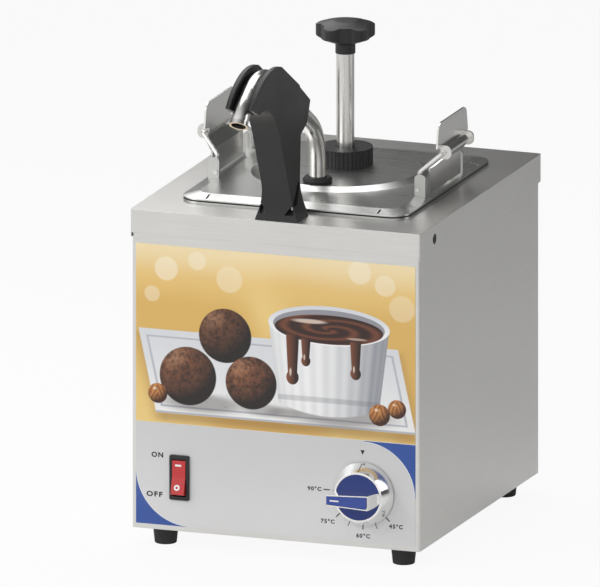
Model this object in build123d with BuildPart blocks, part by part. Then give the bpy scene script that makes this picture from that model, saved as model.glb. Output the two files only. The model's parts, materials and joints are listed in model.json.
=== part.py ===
from build123d import *
import os
from math import atan2, cos, degrees, hypot, radians, sin

os.makedirs("parts", exist_ok=True)

# Counter-top warmer for sauces and toppings: a housing with a heated well, a hanging pan,
# and a lid that carries a hand pump, its spout tube and two bail clamps.
# Origin: on the worktop, under the centre of the pan. +X right, +Y back, +Z up. Millimetres.

# ------------------------------------------------------------------ driving dimensions
# housing
cap_width = 207.0
cap_margin = 31.0
cap_skirt_front = 16.0
cap_skirt_side = 19.0
cap_corner = 2.0
sheet = 0.8
sheet_gap = 0.2
push_fit = 0.05
assembly_gap = 0.1
back_set_in = 2.0
body_height = 219.7
casing_flange = 12.0
casing_foot_flange = 30.0
bottom_sheet = 1.0
side_hole_radius = 3.6
side_hole_from_front = 28.0
side_hole_below_top = 9.5
vent_slot_length = 26.0
vent_slot_width = 3.5
vent_slot_pitch = 8.0
vent_slot_count = 8
back_vent_below_top = 40.0
back_vent_rise = 75.0
bottom_vent_spacing = 90.0
bottom_vent_columns = 6
back_panel_gap = 1.0
back_screw_low = 20.0
back_screw_high = 12.0

# feet
foot_height = 13.0
foot_top_radius = 8.75
foot_bottom_radius = 7.4
foot_inset = 17.7
foot_screw_radius = 2.0
foot_head_radius = 4.0
foot_head_height = 3.0
foot_recess_radius = 4.5
foot_recess_depth = 5.0
foot_screw_end = 4.0
foot_nut_radius = 4.0
foot_nut_height = 3.2
foot_edge_radius = 0.8

# pan and well
pan_width = 162.0
pan_depth = 176.0
pan_height = 150.0
pan_rim = 8.0
pan_sheet = 0.8
pan_corner = 14.0
pan_body_corner = 22.0
pan_draft = 7.0
pan_floor_radius = 8.0
pan_clearance = 1.0
well_clearance = 2.0
well_sheet = 1.0
well_flange = 10.0
well_floor_gap = 6.0
well_floor_radius = 4.0

# lid
seal_thickness = 1.1
seal_width = 5.0
seal_inset = 0.1
lid_sheet = 0.8
lid_rise = 2.3
lid_rim = 10.0
lid_edge_land = 3.0
lid_lip_depth = 7.0
lid_lip_inset = 0.5
dome_radius = 55.0
dome_slope = 5.0
dome_height = 3.0
dome_centre_y = 9.0
rim_slit_width = 1.2
rim_slit_from_corner = 20.0
rim_slit_side_from_corner = 26.0
rim_slit_y = (-24.0, 44.0)

# pump
pump_y = 19.0
cylinder_radius = 14.0
cylinder_wall = 2.0
cylinder_neck = 9.0
cylinder_flange_radius = 18.0
cylinder_flange_thickness = 2.0
guide_flange = 1.5
guide_length = 10.0
collar_radius = 18.5
collar_height = 12.0
collar_grooves = 40
collar_groove_radius = 0.8
collar_groove_depth = 0.4
collar_rod_gap = 0.4
rod_radius = 6.0
rod_spigot_radius = 4.0
rod_spigot_length = 10.0
piston_length = 14.0
seal_ring_height = 2.8
seal_ring_depth = 1.9
seal_ring_edge = 0.5
spring_wire_radius = 0.7
spring_radius = 9.5
spring_turns = 9
spring_length = 96.0
spring_end_gap = 0.3
running_gap = 0.06
knob_radius = 20.6
knob_lobes = 5
knob_lobe_radius = 6.2
knob_turn = -34.0
knob_valley_radius = 2.0
knob_edge = 0.8
knob_height = 16.0
knob_cone = 5.0
knob_rim = 8.0
knob_neck_radius = 6.75
knob_neck_height = 6.5
knob_top_above_cap = 107.0
knob_overlap = 1.0

# valve housing at the pump's foot
housing_height = 20.0
housing_above_pan = 6.0
housing_width = 32.0
socket_depth = 4.0
inlet_bore = 5.0
inlet_ball_radius = 6.5
outlet_ball_radius = 4.0
outlet_seat_bore = 2.8
outlet_seat_height = 5.0
passage_radius = 3.5
passage_above_seat = 4.3
riser_bore = 2.9
inlet_seat_height = 3.0
housing_edge = 2.0
inlet_chamber_gap = 2.0

# spout tube, in the plane of symmetry: distances behind the cap's front edge and above its top
tube_radius = 6.0
tube_wall = 1.0
tube_riser_y = 83.0
tube_riser_bend = (83.0, 42.9)
tube_crown = (-29.3, 111.8)
tube_nose = (-67.2, 90.4)
tube_riser_bend_radius = 36.0
tube_crown_radius = 41.0
tube_nose_radius = 38.0
tube_end_angle = 54.0
tube_end_length = 9.0
tube_lip = 0.6
tube_lip_length = 3.0
grommet_radius = 10.2
grommet_height = 4.0
grommet_neck = 1.3
grommet_lower_radius = 8.2
grommet_lower_height = 2.2

# spout holder
holder_width = 19.4
holder_base_width = 30.6
holder_flare_height = 28.0
holder_slot_gap = 0.3
holder_slot_side = 0.8
holder_bevel = 2.2
bevel_run_out = 9.0
holder_screw_radius = 2.0
holder_screw_from_front = 9.0
holder_screw_spacing = 18.0
holder_screw_length = 11.0

# bail clamps on the lid, right-hand one; the left one is its mirror image
wire_radius = 1.5
wire_bend_radius = 2.4
leg_x = 72.0
leg_y = 34.0
bail_pivot_height = 4.0
leg_height = 15.4
cross_x = 85.4
cross_y = 25.5
cross_height = 27.5
lug_thickness = 1.5
lug_inner = 2.4
lug_outer = 5.4
lug_height = 14.2
lug_corner = 2.5
lug_tail = 1.0
bail_pin_reach = 0.6
lug_gap = 0.5
lever_sheet = 1.2
lever_plate_height = 20.5
lever_plate_half = 27.0
lever_plate_flare = 3.0
lever_plate_step = 1.0
lever_plate_corner = 6.0
lever_leaf_half = 30.0
lever_roll_radius = 3.2
lever_roll_half = 21.0
lever_web_x = 77.5
lever_floor_gap = 0.4
ear_reach = 5.0
ear_half_height = 4.75

# front panel
film = 0.3
picture_width = 199.0
picture_height = 122.6
film_split = 0.6
# how far below the cap's top the picture ends, the control film ends and the controls are centred
picture_drop = 145.6
control_drop = 216.3
controls_drop = 182.6
switch_x = -68.3
switch_width = 14.0
switch_height = 31.0
switch_frame = 2.0
switch_opening_width = 10.0
switch_opening_height = 25.4
switch_body_width = 12.8
switch_body_height = 28.2
switch_body_depth = 20.0
switch_cavity_depth = 10.0
switch_corner = 1.2
switch_edge = 0.7
switch_blade_spacing = 9.0
rocker_width = 9.4
rocker_half = 11.7
rocker_end = 4.0
rocker_middle = 2.4
rocker_thickness = 5.5
rocker_tilt = 9.0
rocker_pin_radius = 1.0
rocker_pin_length = 0.7
rocker_edge = 0.8
dial_x = 62.6
dial_skirt_radius = 21.8
dial_top_radius = 16.8
dial_rim = 1.0
dial_height = 11.6
dial_panel_gap = 0.8
dial_wall = 2.0
dial_face_recess = 1.0
grip_height = 26.0
grip_left = 17.4
grip_right = 15.8
grip_top_right = 12.0
grip_half_left = 3.6
grip_half_right = 5.2
grip_right_edge = 3.5
grip_left_edge = 1.2
inlay_depth = 0.8
inlay_margin = 0.7
inlay_corner = 1.5
spindle_radius = 3.0
spindle_hole_gap = 1.0

# inside the housing
blade_width = 6.3
blade_thickness = 0.8
blade_length = 8.0
heater_plate_thickness = 3.0
heater_plate_margin = 12.0
heater_plate_corner = 10.0
element_radius = 3.25
element_half_width = 32.0
element_front = -48.0
element_back = 62.0
element_bend = 18.0
clamp_bar_width = 14.0
clamp_bar_thickness = 1.5
clamp_bar_y = 30.0
clamp_bar_reach = 10.0
clamp_bar_corner = 3.0
stud_radius = 2.5
nut_radius = 4.6
nut_height = 4.0
stud_end = 3.0
earth_x = -60.0
earth_y = 40.0
earth_height = 14.0
thermostat_width = 40.0
thermostat_height = 32.0
thermostat_depth = 24.0
thermostat_plate = 1.5
thermostat_plate_reach = 3.0
thermostat_plate_corner = 3.0
thermostat_box_height = 28.0
thermostat_box_corner = 4.0
bulb_radius = 3.0
bulb_length = 70.0
bulb_rise = 86.0
bulb_past_dial = 6.0
bulb_end_radius = 1.8
bulb_clip_gap = 0.15
bulb_clip_width = 22.0
capillary_radius = 0.75
capillary_run = 14.0
capillary_drop = 14.0
capillary_slope = 6.0
capillary_bend = 5.0
cutout_radius = 8.0
cutout_height = 9.0
cutout_flange = 24.0
cutout_slot_length = 30.0
cutout_slot_width = 12.0
cutout_slot_sheet = 1.2
cutout_rise = 100.0
cutout_y = 20.0
cutout_blade_spacing = 8.0
terminal_length = 34.0
terminal_width = 20.0
terminal_height = 17.0
terminal_poles = 3
terminal_corner = 2.0
terminal_base = 10.2
terminal_slot = 1.6
terminal_cage_width = 14.0
terminal_hole_rise = 5.95
terminal_hole_radius = 2.2
terminal_x = -48.0
terminal_y = 70.0
gland_radius = 10.0
gland_thread_radius = 6.0
gland_bore = 4.0
gland_x = -70.0
gland_rise = 25.0
gland_hex = 5.0
gland_dome = 9.0
gland_thread = 9.0
gland_nut_radius = 9.5
gland_nut_height = 5.0
gland_dome_radius = 8.2
screw_radius = 2.0
screw_head_radius = 3.8
screw_head_height = 2.0

# ------------------------------------------------------------------ levels and places
cap_top = foot_height + body_height
cap_under = cap_top - sheet
cap_depth = pan_depth + 2 * cap_margin
cap_front = -cap_depth / 2
body_width = cap_width - 2 * (sheet + sheet_gap)
body_depth = cap_depth - 2 * (sheet + sheet_gap) - back_set_in
body_front = cap_front + sheet + sheet_gap
body_back = body_front + body_depth
casing_back = body_back - sheet
casing_middle_y = (body_front + casing_back) / 2
casing_depth = casing_back - body_front
film_face = body_front - film
picture_bottom = cap_top - picture_drop
control_bottom = cap_top - control_drop
control_z = cap_top - controls_drop
holder_screw_y = cap_front + holder_screw_from_front
bulb_height = foot_height + bulb_rise
cutout_z = foot_height + cutout_rise
gland_z = foot_height + gland_rise

pan_body_width = pan_width - 2 * pan_rim
pan_body_depth = pan_depth - 2 * pan_rim
pan_bottom = cap_top + pan_sheet - pan_height
opening_width = pan_body_width + 2 * pan_clearance
opening_depth = pan_body_depth + 2 * pan_clearance
opening_corner = pan_body_corner + pan_clearance
well_width = opening_width + 2 * well_clearance
well_depth = opening_depth + 2 * well_clearance
well_corner = opening_corner + well_clearance
well_floor = pan_bottom - well_floor_gap
well_bottom = well_floor - well_sheet

seal_bottom = cap_top + pan_sheet
lid_edge = seal_bottom + seal_thickness
lid_top = lid_edge + lid_sheet + lid_rise
lid_under = lid_top - lid_sheet
dome_top = lid_top + dome_height
dome_under = dome_top - lid_sheet
lid_flat_width = pan_width - 2 * lid_rim
lid_flat_depth = pan_depth - 2 * lid_rim
lid_flat_corner = pan_corner - lid_rim / 2

cylinder_bore = cylinder_radius - cylinder_wall
housing_bottom = pan_bottom + pan_sheet + housing_above_pan
housing_top = housing_bottom + housing_height
cylinder_bottom = housing_top - socket_depth
cylinder_top = dome_top + cylinder_neck
guide_top = cylinder_top + guide_flange
collar_top = dome_top + collar_height
spring_seat = cylinder_bottom
piston_bottom = spring_seat + spring_length
piston_top = piston_bottom + piston_length
knob_bottom = cap_top + knob_top_above_cap - knob_height
rod_top = knob_bottom - knob_neck_height + knob_overlap

riser_y = cap_front + tube_riser_y
pivot_z = lid_top + bail_pivot_height
cross_z = lid_top + cross_height


def save(builder, label):
    """Name a finished piece and write it as one STEP file."""
    builder.part.label = label
    export_step(builder.part, f"parts/{label}.step")


def spout_point(point):
    """A point given behind the cap's front edge and above its top, in the object's frame."""
    return (cap_front + point[0], cap_top + point[1])


def offset_line(start, end, distance):
    """The line from start to end, moved sideways by distance, as a point and a direction."""
    length = hypot(end[0] - start[0], end[1] - start[1])
    direction = ((end[0] - start[0]) / length, (end[1] - start[1]) / length)
    return (start[0] - direction[1] * distance, start[1] + direction[0] * distance), direction


def crossing(first, second):
    """Where two lines, each a point and a direction, meet."""
    (px, pz), (dx, dz) = first
    (qx, qz), (ex, ez) = second
    along = ((qx - px) * ez - (qz - pz) * ex) / (dx * ez - dz * ex)
    return (px + along * dx, pz + along * dz)


# ------------------------------------------------------------------ housing
with BuildPart() as top_cover:
    with BuildSketch(Plane.XY.offset(cap_top)):
        RectangleRounded(cap_width, cap_depth, cap_corner)
    extrude(amount=-cap_skirt_side)
    with BuildSketch(Plane.XY.offset(cap_under)):
        Rectangle(cap_width - 2 * sheet, cap_depth - 2 * sheet)
    extrude(amount=-cap_skirt_side, mode=Mode.SUBTRACT)
    # the front skirt is a little shorter than the side ones
    with BuildSketch(Plane.XZ.offset(-cap_front)):
        with Locations((0, cap_top - cap_skirt_front)):
            Rectangle(cap_width - 2 * sheet, cap_skirt_side, align=(Align.CENTER, Align.MAX))
    extrude(amount=-2 * sheet, mode=Mode.SUBTRACT)
    with BuildSketch(Plane.XY.offset(cap_top)):
        RectangleRounded(opening_width, opening_depth, opening_corner)
    extrude(amount=-sheet, mode=Mode.SUBTRACT)
    with BuildSketch(Plane.YZ.offset(-cap_width / 2)):
        with Locations((cap_front + side_hole_from_front, cap_top - side_hole_below_top)):
            Circle(side_hole_radius)
    extrude(amount=cap_width, mode=Mode.SUBTRACT)
    with BuildSketch(Plane.XY.offset(cap_top)):
        with Locations((0, holder_screw_y)):
            with GridLocations(holder_screw_spacing, 1, 2, 1):
                Circle(holder_screw_radius + sheet_gap)
    extrude(amount=-sheet, mode=Mode.SUBTRACT)
save(top_cover, "top_cover")

with BuildPart() as casing:
    with BuildSketch(Plane.XY.offset(foot_height)):
        with Locations((0, casing_middle_y)):
            Rectangle(body_width, casing_depth)
    extrude(amount=cap_under - foot_height)
    fillet(casing.edges().filter_by(Axis.Z).group_by(Axis.Y)[0], radius=cap_corner)
    with BuildSketch(Plane.XY.offset(foot_height + sheet)):
        with Locations((0, casing_middle_y)):
            Rectangle(body_width - 2 * sheet, casing_depth - 2 * sheet)
    extrude(amount=cap_under - foot_height - 2 * sheet, mode=Mode.SUBTRACT)
    # open top, with a return flange all round that the cap rests on
    with BuildSketch(Plane.XY.offset(cap_under)):
        with Locations((0, casing_middle_y)):
            Rectangle(body_width - 2 * casing_flange, casing_depth - 2 * casing_flange)
    extrude(amount=-sheet, mode=Mode.SUBTRACT)
    with BuildSketch(Plane.XY.offset(cap_under)):
        with Locations((0, holder_screw_y)):
            with GridLocations(holder_screw_spacing, 1, 2, 1):
                Circle(holder_screw_radius + sheet_gap)
    extrude(amount=-sheet, mode=Mode.SUBTRACT)
    # open back, closed later by the back panel
    with BuildSketch(Plane.XZ.offset(-casing_back)):
        with Locations((0, foot_height + sheet)):
            Rectangle(
                body_width - 2 * casing_flange,
                cap_under - foot_height - 2 * sheet - casing_flange,
                align=(Align.CENTER, Align.MIN),
            )
    extrude(amount=sheet, mode=Mode.SUBTRACT)
    # open bottom, with a wide flange that the feet are screwed to
    with BuildSketch(Plane.XY.offset(foot_height)):
        with Locations((0, casing_middle_y)):
            Rectangle(body_width - 2 * casing_foot_flange, casing_depth - 2 * casing_foot_flange)
    extrude(amount=sheet, mode=Mode.SUBTRACT)
    with BuildSketch(Plane.XY.offset(foot_height)):
        with Locations((0, (body_front + body_back) / 2)):
            with GridLocations(
                body_width - 2 * foot_inset, body_depth - 2 * foot_inset, 2, 2
            ):
                Circle(foot_screw_radius + sheet_gap)
    extrude(amount=sheet, mode=Mode.SUBTRACT)
    # holes in the front for the switch and the thermostat spindle
    with BuildSketch(Plane.XZ.offset(-body_front)):
        with Locations((switch_x, control_z)):
            Rectangle(switch_body_width + 2 * sheet_gap, switch_body_height + 2 * sheet_gap)
        with Locations((dial_x, control_z)):
            Circle(spindle_radius + spindle_hole_gap)
    extrude(amount=-sheet, mode=Mode.SUBTRACT)
    with BuildSketch(Plane.YZ.offset(-body_width / 2)):
        with Locations((cap_front + side_hole_from_front, cap_top - side_hole_below_top)):
            Circle(side_hole_radius)
    extrude(amount=body_width, mode=Mode.SUBTRACT)
save(casing, "casing")

back_panel_width = body_width - 2 * back_panel_gap
back_panel_top = cap_top - cap_skirt_side - back_panel_gap
back_screw_x = body_width / 2 - casing_flange / 2
back_screw_z = (
    foot_height + back_screw_low,
    (foot_height + back_panel_top) / 2,
    back_panel_top - back_screw_high,
)
with BuildPart() as back_panel:
    with BuildSketch(Plane.XZ.offset(-body_back)):
        with Locations((0, foot_height)):
            Rectangle(
                back_panel_width, back_panel_top - foot_height, align=(Align.CENTER, Align.MIN)
            )
        with Locations(
            (0, back_panel_top - back_vent_below_top), (0, foot_height + back_vent_rise)
        ):
            with GridLocations(vent_slot_pitch, 1, vent_slot_count, 1):
                SlotOverall(vent_slot_length, vent_slot_width, rotation=90, mode=Mode.SUBTRACT)
        with Locations((gland_x, gland_z)):
            Circle(gland_thread_radius + sheet_gap, mode=Mode.SUBTRACT)
        for z in back_screw_z:
            with Locations((-back_screw_x, z), (back_screw_x, z)):
                Circle(screw_radius + sheet_gap, mode=Mode.SUBTRACT)
    extrude(amount=sheet)
save(back_panel, "back_panel")

with BuildPart() as back_panel_screws:
    for z in back_screw_z:
        for side in (-1, 1):
            with BuildSketch(Plane.XZ.offset(-body_back)):
                with Locations((side * back_screw_x, z)):
                    Circle(screw_head_radius)
            extrude(amount=-screw_head_height, taper=12)
            with BuildSketch(Plane.XZ.offset(-body_back)):
                with Locations((side * back_screw_x, z)):
                    Circle(screw_radius)
            extrude(amount=sheet)
save(back_panel_screws, "back_panel_screws")

bottom_bottom = foot_height + sheet
with BuildPart() as bottom_plate:
    with BuildSketch(Plane.XY.offset(bottom_bottom)):
        with Locations((0, casing_middle_y)):
            Rectangle(
                body_width - 2 * sheet - 2 * sheet_gap, casing_depth - 2 * sheet - 2 * sheet_gap
            )
        with GridLocations(vent_slot_pitch * 2, bottom_vent_spacing, bottom_vent_columns, 2):
            SlotOverall(vent_slot_length, vent_slot_width, rotation=90, mode=Mode.SUBTRACT)
        with Locations((0, (body_front + body_back) / 2)):
            with GridLocations(
                body_width - 2 * foot_inset, body_depth - 2 * foot_inset, 2, 2
            ):
                Circle(foot_screw_radius + sheet_gap, mode=Mode.SUBTRACT)
    extrude(amount=bottom_sheet)
save(bottom_plate, "bottom_plate")

# four turned rubber feet, each round a recessed screw
foot_names = {
    "foot_front_left": (-1, -1),
    "foot_front_right": (1, -1),
    "foot_rear_left": (-1, 1),
    "foot_rear_right": (1, 1),
}
foot_reach_x = body_width / 2 - foot_inset
foot_reach_y = body_depth / 2 - foot_inset
body_middle_y = (body_front + body_back) / 2
for foot_label, (side_x, side_y) in foot_names.items():
    foot_x = side_x * foot_reach_x
    foot_y = body_middle_y + side_y * foot_reach_y
    with BuildPart() as foot:
        with BuildSketch(Plane.XY):
            with Locations((foot_x, foot_y)):
                Circle(foot_bottom_radius)
        with BuildSketch(Plane.XY.offset(foot_height)):
            with Locations((foot_x, foot_y)):
                Circle(foot_top_radius)
        loft()
        with BuildSketch(Plane.XY):
            with Locations((foot_x, foot_y)):
                Circle(foot_recess_radius)
        extrude(amount=foot_recess_depth, mode=Mode.SUBTRACT)
        with BuildSketch(Plane.XY.offset(foot_recess_depth)):
            with Locations((foot_x, foot_y)):
                Circle(foot_screw_radius + sheet_gap)
        extrude(amount=foot_height, mode=Mode.SUBTRACT)
        fillet(foot.faces().sort_by(Axis.Z)[0].outer_wire().edges(), radius=foot_edge_radius)
    save(foot, foot_label)

with BuildPart() as foot_screws:
    with BuildSketch(Plane.XY.offset(foot_recess_depth)):
        with Locations((0, body_middle_y)):
            with GridLocations(2 * foot_reach_x, 2 * foot_reach_y, 2, 2):
                Circle(foot_head_radius)
    extrude(amount=-foot_head_height)
    with BuildSketch(Plane.XY.offset(foot_recess_depth)):
        with Locations((0, body_middle_y)):
            with GridLocations(2 * foot_reach_x, 2 * foot_reach_y, 2, 2):
                Circle(foot_screw_radius)
    extrude(amount=foot_height + foot_screw_end - foot_recess_depth + sheet + bottom_sheet)
save(foot_screws, "foot_screws")

with BuildPart() as foot_nuts:
    with BuildSketch(Plane.XY.offset(bottom_bottom + bottom_sheet)):
        with Locations((0, body_middle_y)):
            with GridLocations(2 * foot_reach_x, 2 * foot_reach_y, 2, 2):
                RegularPolygon(foot_nut_radius, 6)
                Circle(foot_screw_radius + push_fit, mode=Mode.SUBTRACT)
    extrude(amount=foot_nut_height)
save(foot_nuts, "foot_nuts")

# ------------------------------------------------------------------ well and heating
with BuildPart() as well_inside:
    with BuildSketch(Plane.XY.offset(well_floor)):
        RectangleRounded(well_width, well_depth, well_corner)
    extrude(amount=cap_under - well_floor)
    fillet(well_inside.faces().sort_by(Axis.Z)[0].edges(), radius=well_floor_radius)

with BuildPart() as well:
    with BuildSketch(Plane.XY.offset(cap_under)):
        RectangleRounded(
            well_width + 2 * well_flange, well_depth + 2 * well_flange, well_corner + well_flange
        )
    extrude(amount=-well_sheet)
    with BuildSketch(Plane.XY.offset(well_bottom)):
        RectangleRounded(
            well_width + 2 * well_sheet, well_depth + 2 * well_sheet, well_corner + well_sheet
        )
    extrude(amount=cap_under - well_bottom)
    fillet(well.faces().sort_by(Axis.Z)[0].edges(), radius=well_floor_radius + well_sheet)
    add(well_inside.part, mode=Mode.SUBTRACT)
save(well, "well")

heater_top = well_bottom
heater_bottom = heater_top - heater_plate_thickness
element_z = heater_bottom - element_radius - assembly_gap
clamp_top = element_z - element_radius - assembly_gap
with BuildPart() as heater_plate:
    with BuildSketch(Plane.XY.offset(heater_bottom)):
        RectangleRounded(
            well_width - 2 * heater_plate_margin,
                well_depth - 2 * heater_plate_margin,
                heater_plate_corner,
        )
        with Locations((0, -clamp_bar_y), (0, clamp_bar_y)):
            Circle(stud_radius + sheet_gap, mode=Mode.SUBTRACT)
    extrude(amount=heater_plate_thickness)
save(heater_plate, "heater_plate")

with BuildPart() as heating_element:
    with BuildLine(Plane.XY.offset(element_z)) as element_path:
        FilletPolyline(
            (-element_half_width, element_back),
            (-element_half_width, element_front),
            (element_half_width, element_front),
            (element_half_width, element_back),
            radius=element_bend,
        )
    with BuildSketch(Plane(origin=element_path.line @ 0, z_dir=element_path.line % 0)):
        Circle(element_radius)
    sweep(path=element_path.line)
    # cold pins at both ends
    for side in (-1, 1):
        with BuildSketch(Plane.XZ.offset(-element_back)):
            with Locations((side * element_half_width, element_z)):
                Circle(element_radius / 2)
        extrude(amount=-9.0)
save(heating_element, "heating_element")

with BuildPart() as clamp_bars:
    with BuildSketch(Plane.XY.offset(clamp_top)):
        with Locations((0, -clamp_bar_y), (0, clamp_bar_y)):
            RectangleRounded(
                2 * (element_half_width + clamp_bar_reach), clamp_bar_width, clamp_bar_corner
            )
            Circle(stud_radius + sheet_gap, mode=Mode.SUBTRACT)
    extrude(amount=-clamp_bar_thickness)
save(clamp_bars, "clamp_bars")

# welded studs with their nuts: two carry the heater's clamp bars, one takes the earth wire
floor_top = bottom_bottom + bottom_sheet
with BuildPart() as studs:
    with BuildSketch(Plane.XY.offset(well_bottom)):
        with Locations((0, -clamp_bar_y), (0, clamp_bar_y)):
            Circle(stud_radius)
    extrude(amount=clamp_top - clamp_bar_thickness - nut_height - stud_end - well_bottom)
    with BuildSketch(Plane.XY.offset(floor_top)):
        with Locations((earth_x, earth_y)):
            Circle(stud_radius)
    extrude(amount=earth_height)
save(studs, "studs")

with BuildPart() as stud_nuts:
    with BuildSketch(Plane.XY.offset(clamp_top - clamp_bar_thickness)):
        with Locations((0, -clamp_bar_y), (0, clamp_bar_y)):
            RegularPolygon(nut_radius, 6)
            Circle(stud_radius + push_fit, mode=Mode.SUBTRACT)
    extrude(amount=-nut_height)
    with BuildSketch(Plane.XY.offset(floor_top)):
        with Locations((earth_x, earth_y)):
            RegularPolygon(nut_radius, 6)
            Circle(stud_radius + push_fit, mode=Mode.SUBTRACT)
    extrude(amount=nut_height)
save(stud_nuts, "stud_nuts")

cutout_x = well_width / 2 + well_sheet
with BuildPart() as safety_cutout:
    with BuildSketch(Plane.YZ.offset(cutout_x)):
        with Locations((cutout_y, cutout_z)):
            SlotOverall(cutout_slot_length, cutout_slot_width)
            Circle(cutout_radius)
    extrude(amount=cutout_slot_sheet)
    with BuildSketch(Plane.YZ.offset(cutout_x)):
        with Locations((cutout_y, cutout_z)):
            Circle(cutout_radius)
    extrude(amount=cutout_height)
    with BuildSketch(Plane.YZ.offset(cutout_x + cutout_height)):
        with Locations((cutout_y, cutout_z)):
            with GridLocations(cutout_blade_spacing, 1, 2, 1):
                Rectangle(blade_thickness, blade_width)
    extrude(amount=blade_length)
save(safety_cutout, "safety_cutout")

# ------------------------------------------------------------------ thermostat
inner_front = body_front + sheet
thermostat_back = inner_front + thermostat_plate + thermostat_depth
with BuildPart() as thermostat:
    with BuildSketch(Plane.XZ.offset(-inner_front)):
        with Locations((dial_x, control_z)):
            RectangleRounded(
                thermostat_width + 2 * thermostat_plate_reach, thermostat_height, thermostat_plate_corner
            )
    extrude(amount=-thermostat_plate)
    with BuildSketch(Plane.XZ.offset(-inner_front - thermostat_plate)):
        with Locations((dial_x, control_z)):
            RectangleRounded(thermostat_width, thermostat_box_height, thermostat_box_corner)
    extrude(amount=-thermostat_depth)
    with BuildSketch(Plane.XZ.offset(-inner_front)):
        with Locations((dial_x, control_z)):
            Circle(spindle_radius + running_gap)
    extrude(amount=-12.0, mode=Mode.SUBTRACT)
    with BuildSketch(Plane.XZ.offset(-thermostat_back)):
        with Locations((dial_x, control_z)):
            with GridLocations(24.0, 16.0, 2, 1):
                Rectangle(blade_width, blade_thickness)
    extrude(amount=-blade_length)
save(thermostat, "thermostat")

bulb_y = -(well_depth / 2 + well_sheet + bulb_radius + sheet_gap)
bulb_end_x = dial_x + bulb_past_dial
with BuildPart() as sensor_bulb:
    with BuildSketch(Plane.YZ.offset(bulb_end_x)):
        with Locations((bulb_y, bulb_height)):
            Circle(bulb_radius)
    extrude(amount=-bulb_length)
    fillet(sensor_bulb.edges().filter_by(GeomType.CIRCLE), radius=bulb_end_radius)
save(sensor_bulb, "sensor_bulb")

capillary_top = control_z + thermostat_box_height / 2
capillary_y = inner_front + thermostat_plate + thermostat_depth / 2
with BuildPart() as capillary:
    with BuildLine() as capillary_path:
        FilletPolyline(
            (bulb_end_x, bulb_y, bulb_height),
            (bulb_end_x + capillary_run, bulb_y, bulb_height),
            (bulb_end_x + capillary_run, capillary_y, bulb_height - capillary_drop),
            (dial_x, capillary_y, bulb_height - capillary_drop - capillary_slope),
            (dial_x, capillary_y, capillary_top),
            radius=capillary_bend,
        )
    with BuildSketch(Plane(origin=capillary_path.line @ 0, z_dir=capillary_path.line % 0)):
        Circle(capillary_radius)
    sweep(path=capillary_path.line)
save(capillary, "capillary")

with BuildPart() as bulb_clip:
    with BuildSketch(Plane.YZ.offset(dial_x - bulb_length / 2)):
        with Locations((bulb_y, bulb_height)):
            Circle(bulb_radius + sheet_gap + sheet)
            with Locations((bulb_radius / 2, 0)):
                Rectangle(bulb_radius + sheet_gap, 2 * (bulb_radius + sheet_gap + sheet))
            with Locations((bulb_radius + sheet_gap - sheet, 0)):
                Rectangle(sheet, bulb_clip_width, align=(Align.MIN, Align.CENTER))
            Circle(bulb_radius + bulb_clip_gap, mode=Mode.SUBTRACT)
    extrude(amount=10.0)
    # nothing reaches into the well's wall
    with BuildSketch(Plane.XZ.offset(well_depth / 2 + well_sheet)):
        with Locations((dial_x - bulb_length / 2 + 5.0, bulb_height)):
            Rectangle(12.0, 30.0)
    extrude(amount=-6.0, mode=Mode.SUBTRACT)
save(bulb_clip, "bulb_clip")

# ------------------------------------------------------------------ supply and earth
with BuildPart() as terminal_block:
    with BuildSketch(Plane.XY.offset(floor_top)):
        with Locations((terminal_x, terminal_y)):
            RectangleRounded(terminal_length, terminal_width, terminal_corner)
    extrude(amount=terminal_base)
    with BuildSketch(Plane.XY.offset(floor_top + terminal_base)):
        with Locations((terminal_x, terminal_y)):
            with GridLocations(terminal_length / terminal_poles, 1, terminal_poles, 1):
                Rectangle(terminal_length / terminal_poles - terminal_slot, terminal_cage_width)
    extrude(amount=terminal_height - terminal_base)
    with BuildSketch(Plane.XZ.offset(-(terminal_y - terminal_width / 2))):
        with Locations((terminal_x, floor_top + terminal_hole_rise)):
            with GridLocations(terminal_length / terminal_poles, 1, terminal_poles, 1):
                Circle(terminal_hole_radius)
    extrude(amount=-terminal_width, mode=Mode.SUBTRACT)
save(terminal_block, "terminal_block")

# cord gland: dome nut and thread in one turned body, with a hexagon nut inside
with BuildPart() as cord_gland:
    with BuildSketch(Plane.XZ.offset(-body_back)):
        with Locations((gland_x, gland_z)):
            RegularPolygon(gland_radius, 6)
    extrude(amount=-gland_hex)
    with BuildSketch(Plane.XZ.offset(-body_back - gland_hex)):
        with Locations((gland_x, gland_z)):
            Circle(gland_dome_radius)
    extrude(amount=-gland_dome, taper=14)
    with BuildSketch(Plane.XZ.offset(-body_back)):
        with Locations((gland_x, gland_z)):
            Circle(gland_thread_radius)
    extrude(amount=gland_thread)
    with BuildSketch(Plane.XZ.offset(-body_back - gland_hex - gland_dome)):
        with Locations((gland_x, gland_z)):
            Circle(gland_bore)
    extrude(amount=gland_hex + gland_dome + gland_thread, mode=Mode.SUBTRACT)
save(cord_gland, "cord_gland")

with BuildPart() as gland_nut:
    with BuildSketch(Plane.XZ.offset(-body_back + sheet)):
        with Locations((gland_x, gland_z)):
            RegularPolygon(gland_nut_radius, 6)
            Circle(gland_thread_radius + push_fit, mode=Mode.SUBTRACT)
    extrude(amount=gland_nut_height)
save(gland_nut, "gland_nut")

# ------------------------------------------------------------------ front films
with BuildPart() as picture_film:
    with BuildSketch(Plane.XZ.offset(-body_front)):
        with Locations((0, picture_bottom)):
            Rectangle(picture_width, picture_height, align=(Align.CENTER, Align.MIN))
    extrude(amount=film)
save(picture_film, "picture_film")

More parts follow.
